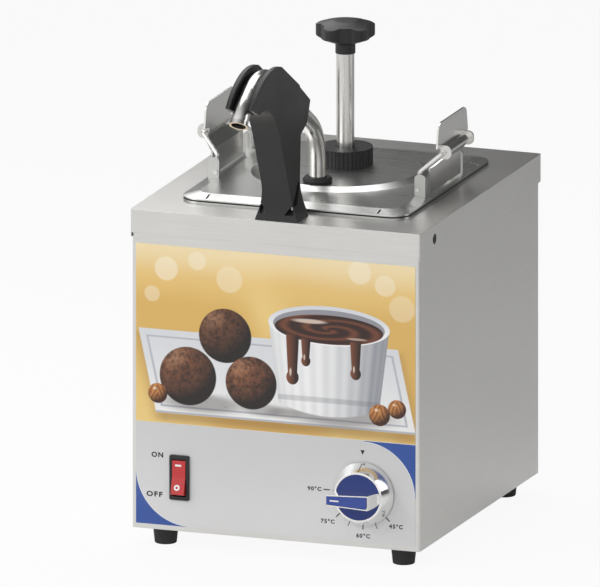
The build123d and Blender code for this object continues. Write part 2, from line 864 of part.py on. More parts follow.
control_top = picture_bottom - film_split
with BuildPart() as control_film:
    with BuildSketch(Plane.XZ.offset(-body_front)):
        with Locations((0, control_bottom)):
            Rectangle(
                picture_width, control_top - control_bottom, align=(Align.CENTER, Align.MIN)
            )
        with Locations((switch_x, control_z)):
            Rectangle(
                switch_body_width + 2 * sheet_gap,
                switch_body_height + 2 * sheet_gap,
                mode=Mode.SUBTRACT,
            )
        with Locations((dial_x, control_z)):
            Circle(spindle_radius + spindle_hole_gap, mode=Mode.SUBTRACT)
    extrude(amount=film)
save(control_film, "control_film")

# ------------------------------------------------------------------ rocker switch
with BuildPart() as switch_body:
    with BuildSketch(Plane.XZ.offset(-film_face)):
        with Locations((switch_x, control_z)):
            RectangleRounded(switch_width, switch_height, switch_corner)
    extrude(amount=switch_frame)
    fillet(switch_body.faces().sort_by(Axis.Y)[0].edges(), radius=switch_edge)
    with BuildSketch(Plane.XZ.offset(-film_face)):
        with Locations((switch_x, control_z)):
            Rectangle(switch_body_width, switch_body_height)
    extrude(amount=-switch_body_depth)
    with BuildSketch(Plane.XZ.offset(-film_face + switch_frame)):
        with Locations((switch_x, control_z)):
            Rectangle(switch_opening_width, switch_opening_height)
    extrude(amount=-switch_cavity_depth, mode=Mode.SUBTRACT)
    # spring blades for the wires
    with BuildSketch(Plane.XZ.offset(-film_face - switch_body_depth)):
        with Locations((switch_x, control_z)):
            with GridLocations(1, switch_blade_spacing, 1, 2):
                Rectangle(blade_width, blade_thickness)
    extrude(amount=-blade_length)
    with BuildSketch(Plane.YZ.offset(switch_x - switch_body_width / 2)):
        with Locations((film_face, control_z)):
            Circle(rocker_pin_radius + running_gap)
    extrude(amount=switch_body_width, mode=Mode.SUBTRACT)
save(switch_body, "switch_body")

# the rocker is drawn level and then tilted to its ON position, top edge pressed in
with BuildPart() as rocker:
    with BuildSketch(Plane.YZ.offset(-rocker_width / 2)):
        with BuildLine():
            Polyline(
                (-rocker_middle, 0),
                (-rocker_end, rocker_half),
                (rocker_thickness - rocker_end, rocker_half),
                (rocker_thickness - rocker_middle, rocker_half / 2),
                (rocker_thickness - rocker_middle, -rocker_half / 2),
                (rocker_thickness - rocker_end, -rocker_half),
                (-rocker_end, -rocker_half),
                (-rocker_middle, 0),
            )
        make_face()
    extrude(amount=rocker_width)
    fillet(rocker.edges().filter_by(Axis.X).group_by(Axis.Y)[0], radius=rocker_edge)
    with BuildSketch(Plane.YZ.offset(-rocker_width / 2 - rocker_pin_length)):
        Circle(rocker_pin_radius)
    extrude(amount=rocker_width + 2 * rocker_pin_length)
rocker_at_rest = Pos(switch_x, film_face, control_z) * Rot(-rocker_tilt, 0, 0) * rocker.part
with BuildPart() as rocker_placed:
    add(rocker_at_rest)
save(rocker_placed, "rocker")

# ------------------------------------------------------------------ thermostat dial
# the dial points left, at its hottest mark
dial_back = film_face - dial_panel_gap
dial_front = film_face - dial_height
dial_seat = dial_front + dial_face_recess
hub_bore = spindle_radius + push_fit
with BuildPart() as dial_skirt:
    with BuildSketch(Plane.YZ.offset(dial_x)):
        with BuildLine():
            Polyline(
                (dial_back, control_z + dial_skirt_radius - dial_wall),
                (dial_back, control_z + dial_skirt_radius),
                (dial_back - 1.2, control_z + dial_skirt_radius),
                (dial_front, control_z + dial_top_radius + 0.4),
                (dial_front, control_z + dial_top_radius - dial_rim),
                (dial_seat, control_z + dial_top_radius - dial_rim),
                (dial_seat, control_z + hub_bore),
                (dial_back, control_z + hub_bore),
                (dial_back, control_z + hub_bore + dial_wall),
                (dial_seat + dial_wall, control_z + hub_bore + dial_wall),
                (dial_seat + dial_wall, control_z + dial_top_radius - dial_wall),
                close=True,
            )
        make_face()
    revolve(axis=Axis((dial_x, 0, control_z), (0, 1, 0)))
save(dial_skirt, "dial_skirt")

face_thickness = dial_face_recess - 0.3
with BuildPart() as dial_face:
    with BuildSketch(Plane.XZ.offset(-dial_seat)):
        with Locations((dial_x, control_z)):
            Circle(dial_top_radius - dial_rim - push_fit)
            Circle(hub_bore, mode=Mode.SUBTRACT)
    extrude(amount=face_thickness)
save(dial_face, "dial_face")

grip_base = dial_seat - face_thickness
grip_front = film_face - grip_height
grip_length = grip_left + grip_right


def grip_half(x):
    """Half the grip's width at x, measured from the dial's centre."""
    return grip_half_left + (grip_half_right - grip_half_left) * (x + grip_left) / grip_length


with BuildPart() as dial_grip:
    with BuildSketch(Plane.XZ.offset(-grip_base)):
        with BuildLine():
            Polyline(
                (dial_x - grip_left, control_z - grip_half_left),
                (dial_x + grip_right, control_z - grip_half_right),
                (dial_x + grip_right, control_z + grip_half_right),
                (dial_x - grip_left, control_z + grip_half_left),
                close=True,
            )
        make_face()
    extrude(amount=grip_base - grip_front)
    fillet(dial_grip.edges().filter_by(Axis.Y).group_by(Axis.X)[-1], radius=grip_right_edge)
    fillet(dial_grip.edges().filter_by(Axis.Y).group_by(Axis.X)[0], radius=grip_left_edge)
    # both ends pass over the skirt's raised rim
    with BuildSketch(Plane.XZ.offset(-grip_base)):
        with Locations((dial_x, control_z)):
            Circle(2 * dial_skirt_radius)
            Circle(dial_top_radius - dial_rim - assembly_gap, mode=Mode.SUBTRACT)
    extrude(amount=grip_base - dial_front + assembly_gap, mode=Mode.SUBTRACT)
    # the right-hand end falls away to the rim
    with BuildSketch(Plane.XY.offset(control_z - grip_half_right)):
        with BuildLine():
            Polyline(
                (dial_x + grip_top_right, grip_front - 1.0),
                (dial_x + grip_top_right, grip_front),
                (dial_x + grip_right - 0.8, grip_base - 2.0),
                (dial_x + grip_right + 1.0, grip_base - 2.0),
                (dial_x + grip_right + 1.0, grip_front - 1.0),
                close=True,
            )
        make_face()
    extrude(amount=2 * grip_half_right, mode=Mode.SUBTRACT)
    # recess for the coloured inlay, open at the pointing end
    with BuildSketch(Plane.XZ.offset(-grip_front)):
        with BuildLine():
            Polyline(
                (dial_x - grip_left - 1.0, control_z - grip_half(-grip_left) + inlay_margin),
                (dial_x + grip_top_right, control_z - grip_half(grip_top_right) + inlay_margin),
                (dial_x + grip_top_right, control_z + grip_half(grip_top_right) - inlay_margin),
                (dial_x - grip_left - 1.0, control_z + grip_half(-grip_left) - inlay_margin),
                close=True,
            )
        make_face()
    extrude(amount=-inlay_depth, mode=Mode.SUBTRACT)
    with BuildSketch(Plane.XZ.offset(-grip_base)):
        with Locations((dial_x, control_z)):
            Circle(hub_bore)
    extrude(amount=8.0, mode=Mode.SUBTRACT)
save(dial_grip, "dial_grip")

inlay_gap = push_fit
with BuildPart() as dial_inlay:
    with BuildSketch(Plane.XZ.offset(-grip_front - inlay_depth)):
        with BuildLine():
            Polyline(
                (
                    dial_x - grip_left + 0.2,
                    control_z - grip_half(-grip_left) + inlay_margin + inlay_gap,
                ),
                (
                    dial_x + grip_top_right - 0.5,
                    control_z - grip_half(grip_top_right) + inlay_margin + 2 * inlay_gap,
                ),
                (
                    dial_x + grip_top_right - 0.5,
                    control_z + grip_half(grip_top_right) - inlay_margin - 2 * inlay_gap,
                ),
                (
                    dial_x - grip_left + 0.2,
                    control_z + grip_half(-grip_left) - inlay_margin - inlay_gap,
                ),
                close=True,
            )
        make_face()
        fillet(vertices().group_by(Axis.X)[-1], radius=inlay_corner)
    extrude(amount=inlay_depth)
save(dial_inlay, "dial_inlay")

spindle_front = grip_base - 7.5
with BuildPart() as dial_spindle:
    with BuildSketch(Plane.XZ.offset(-spindle_front)):
        with Locations((dial_x, control_z)):
            Circle(spindle_radius)
    extrude(amount=-(inner_front + 11.0 - spindle_front))
save(dial_spindle, "dial_spindle")

# ------------------------------------------------------------------ pan
pan_floor = pan_bottom + pan_sheet
pan_inner_width = pan_body_width - 2 * pan_sheet
pan_inner_depth = pan_body_depth - 2 * pan_sheet
with BuildPart() as pan_inside:
    with BuildSketch(Plane.XY.offset(cap_top + pan_sheet)):
        RectangleRounded(pan_inner_width, pan_inner_depth, pan_body_corner - pan_sheet)
    with BuildSketch(Plane.XY.offset(pan_floor)):
        RectangleRounded(
            pan_inner_width - 2 * pan_draft,
            pan_inner_depth - 2 * pan_draft,
            pan_body_corner - pan_sheet,
        )
    loft()
    fillet(pan_inside.faces().sort_by(Axis.Z)[0].edges(), radius=pan_floor_radius)

with BuildPart() as pan:
    with BuildSketch(Plane.XY.offset(cap_top)):
        RectangleRounded(pan_width, pan_depth, pan_corner)
    extrude(amount=pan_sheet)
    with BuildSketch(Plane.XY.offset(cap_top)):
        RectangleRounded(pan_body_width, pan_body_depth, pan_body_corner)
    with BuildSketch(Plane.XY.offset(pan_bottom)):
        RectangleRounded(
            pan_body_width - 2 * pan_draft, pan_body_depth - 2 * pan_draft, pan_body_corner
        )
    loft()
    fillet(pan.faces().sort_by(Axis.Z)[0].edges(), radius=pan_floor_radius + pan_sheet)
    add(pan_inside.part, mode=Mode.SUBTRACT)
save(pan, "pan")

# ------------------------------------------------------------------ lid
with BuildPart() as lid_seal:
    with BuildSketch(Plane.XY.offset(seal_bottom)):
        RectangleRounded(pan_width - 2 * seal_inset, pan_depth - 2 * seal_inset, pan_corner)
        RectangleRounded(
            pan_width - 2 * seal_inset - 2 * seal_width,
            pan_depth - 2 * seal_inset - 2 * seal_width,
            pan_corner - seal_width,
            mode=Mode.SUBTRACT,
        )
    extrude(amount=seal_thickness)
save(lid_seal, "lid_seal")

slit_corner_x = pan_width / 2 - rim_slit_from_corner
slit_corner_y = pan_depth / 2 - rim_slit_side_from_corner
lug_slot_length = lug_inner + lug_outer + 5 * sheet_gap
lug_face_y = leg_y + wire_radius + lug_gap
with BuildPart() as lid:
    with BuildSketch(Plane.XY.offset(lid_edge)):
        RectangleRounded(pan_width, pan_depth, pan_corner)
    extrude(amount=lid_sheet)
    with BuildSketch(Plane.XY.offset(lid_edge + lid_sheet)):
        RectangleRounded(pan_width, pan_depth, pan_corner)
    with BuildSketch(Plane.XY.offset(lid_top)):
        RectangleRounded(lid_flat_width, lid_flat_depth, lid_flat_corner)
    loft()
    with BuildSketch(Plane.XY.offset(lid_top)):
        with Locations((0, dome_centre_y)):
            Circle(dome_radius + dome_slope)
    with BuildSketch(Plane.XY.offset(dome_top)):
        with Locations((0, dome_centre_y)):
            Circle(dome_radius)
    loft()
    # hollow underneath: the same forms, one sheet lower
    with BuildSketch(Plane.XY.offset(lid_edge)):
        RectangleRounded(
            pan_width - 2 * lid_edge_land, pan_depth - 2 * lid_edge_land, pan_corner - lid_edge_land
        )
    with BuildSketch(Plane.XY.offset(lid_under)):
        RectangleRounded(lid_flat_width, lid_flat_depth, lid_flat_corner)
    loft(mode=Mode.SUBTRACT)
    with BuildSketch(Plane.XY.offset(lid_under)):
        with Locations((0, dome_centre_y)):
            Circle(dome_radius + dome_slope - lid_sheet / 2)
    with BuildSketch(Plane.XY.offset(dome_under)):
        with Locations((0, dome_centre_y)):
            Circle(dome_radius - lid_sheet / 2)
    loft(mode=Mode.SUBTRACT)
    # lip that centres the lid in the pan
    with BuildSketch(Plane.XY.offset(lid_under)):
        RectangleRounded(
            lid_flat_width - 2 * lid_lip_inset, lid_flat_depth - 2 * lid_lip_inset, pan_body_corner
        )
        RectangleRounded(
            lid_flat_width - 2 * lid_lip_inset - 2 * lid_sheet,
            lid_flat_depth - 2 * lid_lip_inset - 2 * lid_sheet,
            pan_body_corner - lid_sheet,
            mode=Mode.SUBTRACT,
        )
    extrude(amount=-lid_lip_depth)
    # holes for the pump's neck, the spout tube's grommet and the lugs
    with BuildSketch(Plane.XY.offset(dome_top)):
        with Locations((0, pump_y)):
            Circle(cylinder_radius + sheet_gap)
        with Locations((0, riser_y)):
            Circle(tube_radius + running_gap + grommet_neck)
    extrude(amount=-2 * lid_sheet, mode=Mode.SUBTRACT)
    with BuildSketch(Plane.XY.offset(lid_top)):
        for side_x in (-1, 1):
            for side_y in (-1, 1):
                with Locations(
                    (
                        side_x * (leg_x + (lug_outer - lug_inner) / 2),
                        side_y * (lug_face_y + lug_thickness / 2),
                    )
                ):
                    Rectangle(lug_slot_length, lug_thickness + 2 * sheet_gap)
    extrude(amount=-lid_sheet - lid_lip_depth / 4, mode=Mode.SUBTRACT)
    # short slits across the sloped rim, at the corners and beside the clamps
    with BuildSketch(Plane.XY.offset(lid_top)):
        for side_x in (-1, 1):
            for side_y in (-1, 1):
                with Locations((side_x * slit_corner_x, side_y * (pan_depth / 2 - lid_rim / 2))):
                    Rectangle(rim_slit_width, lid_rim - lid_edge_land)
                with Locations((side_x * (pan_width / 2 - lid_rim / 2), side_y * slit_corner_y)):
                    Rectangle(lid_rim - lid_edge_land, rim_slit_width)
            for y in rim_slit_y:
                with Locations((side_x * (pan_width / 2 - lid_rim / 2), y)):
                    Rectangle(lid_rim - lid_edge_land, rim_slit_width)
    extrude(amount=-lid_rise, mode=Mode.SUBTRACT)
save(lid, "lid")

# ------------------------------------------------------------------ clamps
with BuildPart() as lugs_right:
    for side_y in (-1, 1):
        plane_y = side_y * lug_face_y if side_y < 0 else lug_face_y + lug_thickness
        with BuildSketch(Plane.XZ.offset(-plane_y)) as lug_outline:
            with BuildLine():
                Polyline(
                    (leg_x - lug_inner, lid_under - lug_tail),
                    (leg_x + lug_outer, lid_under - lug_tail),
                    (leg_x + lug_outer, lid_top + lug_height),
                    (leg_x - lug_inner, lid_top + lug_height),
                    close=True,
                )
            make_face()
            fillet(lug_outline.vertices().group_by(Axis.Y)[-1], radius=lug_corner)
            with Locations((leg_x, pivot_z)):
                Circle(wire_radius + running_gap, mode=Mode.SUBTRACT)
        extrude(amount=lug_thickness)
save(lugs_right, "lugs_right")

with BuildPart() as lugs_left:
    mirror(lugs_right.part, about=Plane.YZ)
save(lugs_left, "lugs_left")

pin_end_y = lug_face_y + lug_thickness + bail_pin_reach
with BuildPart() as bail_right:
    with BuildLine() as wire_line:
        FilletPolyline(
            (leg_x, -pin_end_y, pivot_z),
            (leg_x, -leg_y, pivot_z),
            (leg_x, -leg_y, lid_top + leg_height),
            (cross_x, -cross_y, cross_z),
            (cross_x, cross_y, cross_z),
            (leg_x, leg_y, lid_top + leg_height),
            (leg_x, leg_y, pivot_z),
            (leg_x, pin_end_y, pivot_z),
            radius=wire_bend_radius,
        )
    with BuildSketch(Plane(origin=wire_line.line @ 0, z_dir=wire_line.line % 0)):
        Circle(wire_radius)
    sweep(path=wire_line.line)
save(bail_right, "bail_right")

with BuildPart() as bail_left:
    mirror(bail_right.part, about=Plane.YZ)
save(bail_left, "bail_left")

# the lever: a finger plate, a rolled eye round the bail's crossbar, and a leaf below it that
# follows the wire outwards and ends in a web between the lugs
roll_line = lever_roll_radius - lever_sheet / 2
web_bottom = lid_top + lever_floor_gap
slant = hypot(cross_x - leg_x, cross_height - leg_height)
slant_x = (cross_x - leg_x) / slant
slant_z = (cross_height - leg_height) / slant
leaf_start = (cross_x + roll_line * slant_z, cross_z - roll_line * slant_x)
leaf_run = (leaf_start[0] - lever_web_x) / slant_x
leaf_end = (lever_web_x, leaf_start[1] - leaf_run * slant_z)
with BuildPart() as lever_right:
    with BuildSketch(Plane.XZ):
        with BuildLine():
            Line((cross_x - roll_line, cross_z + lever_plate_height), (cross_x - roll_line, cross_z))
        trace(line_width=lever_sheet)
        with BuildLine():
            Polyline(leaf_start, leaf_end, (lever_web_x, web_bottom))
        trace(line_width=lever_sheet)
    extrude(amount=lever_leaf_half, both=True)
    # outline seen from the side of the housing
    with BuildSketch(Plane.YZ.offset(lever_web_x - 2.0)) as lever_outline:
        with BuildLine():
            Polyline(
                (-lever_leaf_half, web_bottom),
                (lever_leaf_half, web_bottom),
                (lever_leaf_half, leaf_end[1]),
                (lever_roll_half, cross_z - lever_roll_radius),
                (lever_roll_half, cross_z + roll_line),
                (lever_plate_half + lever_plate_flare, cross_z + roll_line + lever_plate_step),
                (lever_plate_half, cross_z + lever_plate_height),
                (-lever_plate_half, cross_z + lever_plate_height),
                (-lever_plate_half - lever_plate_flare, cross_z + roll_line + lever_plate_step),
                (-lever_roll_half, cross_z + roll_line),
                (-lever_roll_half, cross_z - lever_roll_radius),
                (-lever_leaf_half, leaf_end[1]),
                close=True,
            )
        make_face()
        fillet(lever_outline.vertices().group_by(Axis.Y)[-1], radius=lever_plate_corner)
    extrude(amount=cross_x - lever_web_x + 4.0, mode=Mode.INTERSECT)
    with BuildSketch(Plane.XZ):
        with Locations((cross_x, cross_z)):
            Circle(lever_roll_radius)
    extrude(amount=lever_roll_half, both=True)
    # ears at both ends of the eye
    for ear_y in (-lever_roll_half, lever_roll_half + lug_thickness):
        with BuildSketch(Plane.XZ.offset(-ear_y)) as ear_outline:
            with Locations((cross_x - roll_line, cross_z)):
                Rectangle(
                    ear_reach + roll_line, 2 * ear_half_height, align=(Align.MIN, Align.CENTER)
                )
            fillet(ear_outline.vertices().group_by(Axis.X)[-1], radius=ear_half_height * 0.8)
        extrude(amount=lug_thickness)
    with BuildSketch(Plane.XZ):
        with Locations((cross_x, cross_z)):
            Circle(wire_radius + running_gap)
    extrude(amount=lever_leaf_half, both=True, mode=Mode.SUBTRACT)
save(lever_right, "lever_right")

with BuildPart() as lever_left:
    mirror(lever_right.part, about=Plane.YZ)
save(lever_left, "lever_left")

# ------------------------------------------------------------------ pump
with BuildPart() as pump_cylinder:
    with BuildSketch(Plane.XY.offset(cylinder_bottom)):
        with Locations((0, pump_y)):
            Circle(cylinder_radius)
    extrude(amount=cylinder_top - cylinder_bottom)
    # flange that bears on the lid from below
    with BuildSketch(Plane.XY.offset(dome_under)):
        with Locations((0, pump_y)):
            Circle(cylinder_flange_radius)
    extrude(amount=-cylinder_flange_thickness)
    with BuildSketch(Plane.XY.offset(cylinder_bottom)):
        with Locations((0, pump_y)):
            Circle(cylinder_bore)
    extrude(amount=cylinder_top - cylinder_bottom, mode=Mode.SUBTRACT)
save(pump_cylinder, "pump_cylinder")

with BuildPart() as rod_guide:
    with BuildSketch(Plane.XY.offset(cylinder_top)):
        with Locations((0, pump_y)):
            Circle(cylinder_radius - sheet_gap)
    extrude(amount=guide_flange)
    with BuildSketch(Plane.XY.offset(cylinder_top)):
        with Locations((0, pump_y)):
            Circle(cylinder_bore - push_fit)
    extrude(amount=-guide_length)
    with BuildSketch(Plane.XY.offset(guide_top)):
        with Locations((0, pump_y)):
            Circle(rod_radius + running_gap)
    extrude(amount=-guide_length - guide_flange, mode=Mode.SUBTRACT)
save(rod_guide, "rod_guide")

groove_circle = collar_radius + collar_groove_radius - collar_groove_depth
with BuildPart() as collar:
    with BuildSketch(Plane.XY.offset(dome_top)):
        with Locations((0, pump_y)):
            Circle(collar_radius)
            with PolarLocations(groove_circle, collar_grooves):
                Circle(collar_groove_radius, mode=Mode.SUBTRACT)
    extrude(amount=collar_height)
    with BuildSketch(Plane.XY.offset(dome_top)):
        with Locations((0, pump_y)):
            Circle(cylinder_radius + assembly_gap)
    extrude(amount=guide_top + assembly_gap - dome_top, mode=Mode.SUBTRACT)
    with BuildSketch(Plane.XY.offset(collar_top)):
        with Locations((0, pump_y)):
            Circle(rod_radius + collar_rod_gap)
    extrude(amount=-collar_height, mode=Mode.SUBTRACT)
save(collar, "collar")

housing_length = pump_y - riser_y
inlet_seat_z = housing_bottom + inlet_seat_height
passage_z = inlet_seat_z + passage_above_seat
with BuildPart() as valve_housing:
    with BuildSketch(Plane.XY.offset(housing_bottom)):
        with Locations((0, (pump_y + riser_y) / 2)):
            SlotCenterToCenter(housing_length, housing_width, rotation=90)
    extrude(amount=housing_height)
    fillet(valve_housing.faces().sort_by(Axis.Z)[0].edges(), radius=housing_edge)
    # sockets for the cylinder and the spout tube
    with BuildSketch(Plane.XY.offset(housing_top)):
        with Locations((0, pump_y)):
            Circle(cylinder_radius + push_fit)
        with Locations((0, riser_y)):
            Circle(tube_radius + push_fit)
    extrude(amount=-socket_depth, mode=Mode.SUBTRACT)
    # inlet: bore, sharp-edged seat and the chamber its ball lifts in
    with BuildSketch(Plane.XY.offset(housing_bottom)):
        with Locations((0, pump_y)):
            Circle(inlet_bore)
    extrude(amount=housing_height, mode=Mode.SUBTRACT)
    with BuildSketch(Plane.XY.offset(inlet_seat_z)):
        with Locations((0, pump_y)):
            Circle(inlet_ball_radius + inlet_chamber_gap)
    extrude(amount=housing_height, mode=Mode.SUBTRACT)
    # passage from the chamber to the foot of the spout tube
    with BuildSketch(Plane.XZ.offset(-pump_y)):
        with Locations((0, passage_z)):
            Circle(passage_radius)
    extrude(amount=housing_length + passage_radius, mode=Mode.SUBTRACT)
    with BuildSketch(Plane.XY.offset(passage_z)):
        with Locations((0, riser_y)):
            Circle(riser_bore)
    extrude(amount=housing_height, mode=Mode.SUBTRACT)
save(valve_housing, "valve_housing")

inlet_ball_z = inlet_seat_z + (inlet_ball_radius**2 - inlet_bore**2) ** 0.5 + assembly_gap
with BuildPart() as inlet_ball:
    with Locations((0, pump_y, inlet_ball_z)):
        Sphere(inlet_ball_radius)
save(inlet_ball, "inlet_ball")

outlet_seat_bottom = housing_top - socket_depth
outlet_seat_top = outlet_seat_bottom + outlet_seat_height
tube_bore = tube_radius - tube_wall
with BuildPart() as outlet_seat:
    with BuildSketch(Plane.XY.offset(outlet_seat_bottom)):
        with Locations((0, riser_y)):
            Circle(tube_bore - push_fit)
            Circle(outlet_seat_bore, mode=Mode.SUBTRACT)
    extrude(amount=outlet_seat_height)
save(outlet_seat, "outlet_seat")

outlet_ball_z = outlet_seat_top + (outlet_ball_radius**2 - outlet_seat_bore**2) ** 0.5 + assembly_gap
with BuildPart() as outlet_ball:
    with Locations((0, riser_y, outlet_ball_z)):
        Sphere(outlet_ball_radius)
save(outlet_ball, "outlet_ball")

# spout tube: up from the valve housing, over the holder, down to an open nose
tube_foot = (tube_riser_y, cylinder_bottom - cap_top)
tube_end = (
    tube_nose[0] - tube_end_length * cos(radians(tube_end_angle)),
    tube_nose[1] - tube_end_length * sin(radians(tube_end_angle)),
)
tube_route = [spout_point(p) for p in (tube_foot, tube_riser_bend, tube_crown, tube_nose, tube_end)]
tube_bends = [tube_riser_bend_radius, tube_crown_radius, tube_nose_radius]
with BuildPart() as spout_tube:
    with BuildLine(Plane.YZ) as tube_line:
        FilletPolyline(*tube_route, radius=tube_bends)
    with BuildSketch(Plane(origin=tube_line.line @ 0, z_dir=tube_line.line % 0)):
        Circle(tube_radius)
    sweep(path=tube_line.line)
    # rolled lip at the nose
    with BuildSketch(Plane(origin=tube_line.line @ 1, z_dir=-(tube_line.line % 1))):
        Circle(tube_radius + tube_lip)
    extrude(amount=tube_lip_length, taper=11)
    with BuildSketch(Plane(origin=tube_line.line @ 0, z_dir=tube_line.line % 0)):
        Circle(tube_bore)
    sweep(path=tube_line.line, mode=Mode.SUBTRACT)
save(spout_tube, "spout_tube")

grommet_bore = tube_radius + running_gap
with BuildPart() as tube_grommet:
    with BuildSketch(Plane.YZ) as grommet_profile:
        with BuildLine():
            Polyline(
                (riser_y + grommet_bore, dome_top + grommet_height),
                (riser_y + grommet_radius - 1.5, dome_top + grommet_height),
                (riser_y + grommet_radius, dome_top + grommet_height / 2),
                (riser_y + grommet_radius - 0.8, dome_top),
                (riser_y + grommet_bore + grommet_neck - assembly_gap, dome_top),
                (riser_y + grommet_bore + grommet_neck - assembly_gap, dome_under),
                (riser_y + grommet_lower_radius, dome_under),
                (riser_y + grommet_lower_radius, dome_under - grommet_lower_height),
                (riser_y + grommet_bore, dome_under - grommet_lower_height),
                close=True,
            )
        make_face()
        fillet(
            grommet_profile.vertices().filter_by_position(
                Axis.Y, dome_top + 0.5, dome_top + grommet_height + 1.0
            ),
            radius=0.9,
        )
    revolve(axis=Axis((0, riser_y, 0), (0, 0, 1)))
save(tube_grommet, "tube_grommet")

# ------------------------------------------------------------------ plunger
with BuildPart() as piston:
    with BuildSketch(Plane.XY.offset(piston_bottom)):
        with Locations((0, pump_y)):
            Circle(cylinder_bore - 0.3)
    extrude(amount=piston_length)
    with BuildSketch(Plane.XY.offset(piston_top)):
        with Locations((0, pump_y)):
            Circle(rod_spigot_radius + push_fit)
    extrude(amount=-rod_spigot_length - 2 * assembly_gap, mode=Mode.SUBTRACT)
    with BuildSketch(Plane.XY.offset(piston_bottom + piston_length / 2 - seal_ring_height / 2 - assembly_gap)):
        with Locations((0, pump_y)):
            Circle(cylinder_bore)
            Circle(cylinder_bore - seal_ring_depth, mode=Mode.SUBTRACT)
    extrude(amount=seal_ring_height + 2 * assembly_gap, mode=Mode.SUBTRACT)
save(piston, "piston")

with BuildPart() as piston_seal:
    with BuildSketch(Plane.XY.offset(piston_bottom + piston_length / 2 - seal_ring_height / 2)):
        with Locations((0, pump_y)):
            Circle(cylinder_bore - running_gap)
            Circle(cylinder_bore - seal_ring_depth + push_fit, mode=Mode.SUBTRACT)
    extrude(amount=seal_ring_height)
    fillet(piston_seal.edges().filter_by(GeomType.CIRCLE), radius=seal_ring_edge)
save(piston_seal, "piston_seal")

with BuildPart() as plunger_rod:
    with BuildSketch(Plane.XY.offset(piston_top)):
        with Locations((0, pump_y)):
            Circle(rod_radius)
    extrude(amount=rod_top - piston_top)
    with BuildSketch(Plane.XY.offset(piston_top)):
        with Locations((0, pump_y)):
            Circle(rod_spigot_radius)
    extrude(amount=-rod_spigot_length)
    with BuildSketch(Plane.XY.offset(rod_top)):
        with Locations((0, pump_y)):
            Circle(rod_spigot_radius)
    extrude(amount=rod_spigot_length)
save(plunger_rod, "plunger_rod")

# star knob: a lobed plan trimmed by a turned profile with a domed top
with BuildPart() as knob:
    with BuildSketch(Plane.XY.offset(knob_bottom)) as star:
        with Locations((0, pump_y)):
            Circle(knob_radius * 0.8)
            with PolarLocations(knob_radius - knob_lobe_radius, knob_lobes, start_angle=knob_turn):
                Circle(knob_lobe_radius)
        fillet(
            star.vertices().filter_by(
                lambda v: hypot(v.X, v.Y - pump_y) < knob_radius * 0.95
            ),
            radius=knob_valley_radius,
        )
    extrude(amount=knob_height)
    with BuildSketch(Plane.YZ):
        with BuildLine():
            Line((pump_y, knob_bottom), (pump_y + knob_neck_radius, knob_bottom))
            Line(
                (pump_y + knob_neck_radius, knob_bottom),
                (pump_y + knob_radius - knob_edge, knob_bottom + knob_cone),
            )
            Line(
                (pump_y + knob_radius - knob_edge, knob_bottom + knob_cone),
                (pump_y + knob_radius, knob_bottom + knob_cone + knob_edge),
            )
            Line(
                (pump_y + knob_radius, knob_bottom + knob_cone + knob_edge),
                (pump_y + knob_radius, knob_bottom + knob_cone + knob_rim - 2 * knob_edge),
            )
            Spline(
                (pump_y + knob_radius, knob_bottom + knob_cone + knob_rim - 2 * knob_edge),
                (pump_y + knob_radius * 0.93, knob_bottom + knob_cone + knob_rim),
                (pump_y + knob_radius * 0.5, knob_bottom + knob_height - knob_edge),
                (pump_y, knob_bottom + knob_height),
                tangents=[(0, 1), (-1, 0)],
            )
            Line((pump_y, knob_bottom + knob_height), (pump_y, knob_bottom))
        make_face()
    revolve(axis=Axis((0, pump_y, 0), (0, 0, 1)), mode=Mode.INTERSECT)
    # neck, and the bore that the rod screws into
    with BuildSketch(Plane.XY.offset(knob_bottom + knob_overlap)):
        with Locations((0, pump_y)):
            Circle(knob_neck_radius)
    extrude(amount=-knob_neck_height - knob_overlap)
    with BuildSketch(Plane.XY.offset(knob_bottom - knob_neck_height)):
        with Locations((0, pump_y)):
            Circle(rod_radius + push_fit)
    extrude(amount=rod_top - knob_bottom + knob_neck_height, mode=Mode.SUBTRACT)
    with BuildSketch(Plane.XY.offset(knob_bottom - knob_neck_height)):
        with Locations((0, pump_y)):
            Circle(rod_spigot_radius + push_fit)
    extrude(amount=rod_top - knob_bottom + knob_neck_height + rod_spigot_length + 2 * assembly_gap, mode=Mode.SUBTRACT)
save(knob, "knob")

spring_pitch = (spring_length - 2 * (spring_wire_radius + spring_end_gap)) / spring_turns
with BuildPart() as return_spring:
    with BuildLine(Plane((0, pump_y, spring_seat + spring_wire_radius + spring_end_gap))) as spring_line:
        Helix(pitch=spring_pitch, height=spring_pitch * spring_turns, radius=spring_radius)
    with BuildSketch(Plane(origin=spring_line.line @ 0, z_dir=spring_line.line % 0)):
        Circle(spring_wire_radius)
    sweep(path=spring_line.line, is_frenet=True)
save(return_spring, "return_spring")

# ------------------------------------------------------------------ spout holder
# the side view, as distances behind the cap's front edge and above its top
holder_tip = (-71.8, 94.3)
holder_head = (-44.4, 111.1)
holder_crown = (-14.0, 111.2)
holder_back_top = (21.5, 90.2)
holder_back_step = (21.9, 88.9)
holder_back_point = (42.3, 75.2)
holder_back_under = (36.0, 61.0)
holder_waist_top = (23.5, 55.5)
holder_waist_bottom = (21.6, 26.0)
holder_heel = (23.0, 0.0)
holder_toe = (2.0, 0.0)
holder_front_low = (0.8, 21.4)
holder_front_mid = (-9.0, 44.0)
holder_front_high = (-19.0, 66.0)
holder_chin = (-31.0, 81.5)
holder_jaw = (-58.0, 88.0)

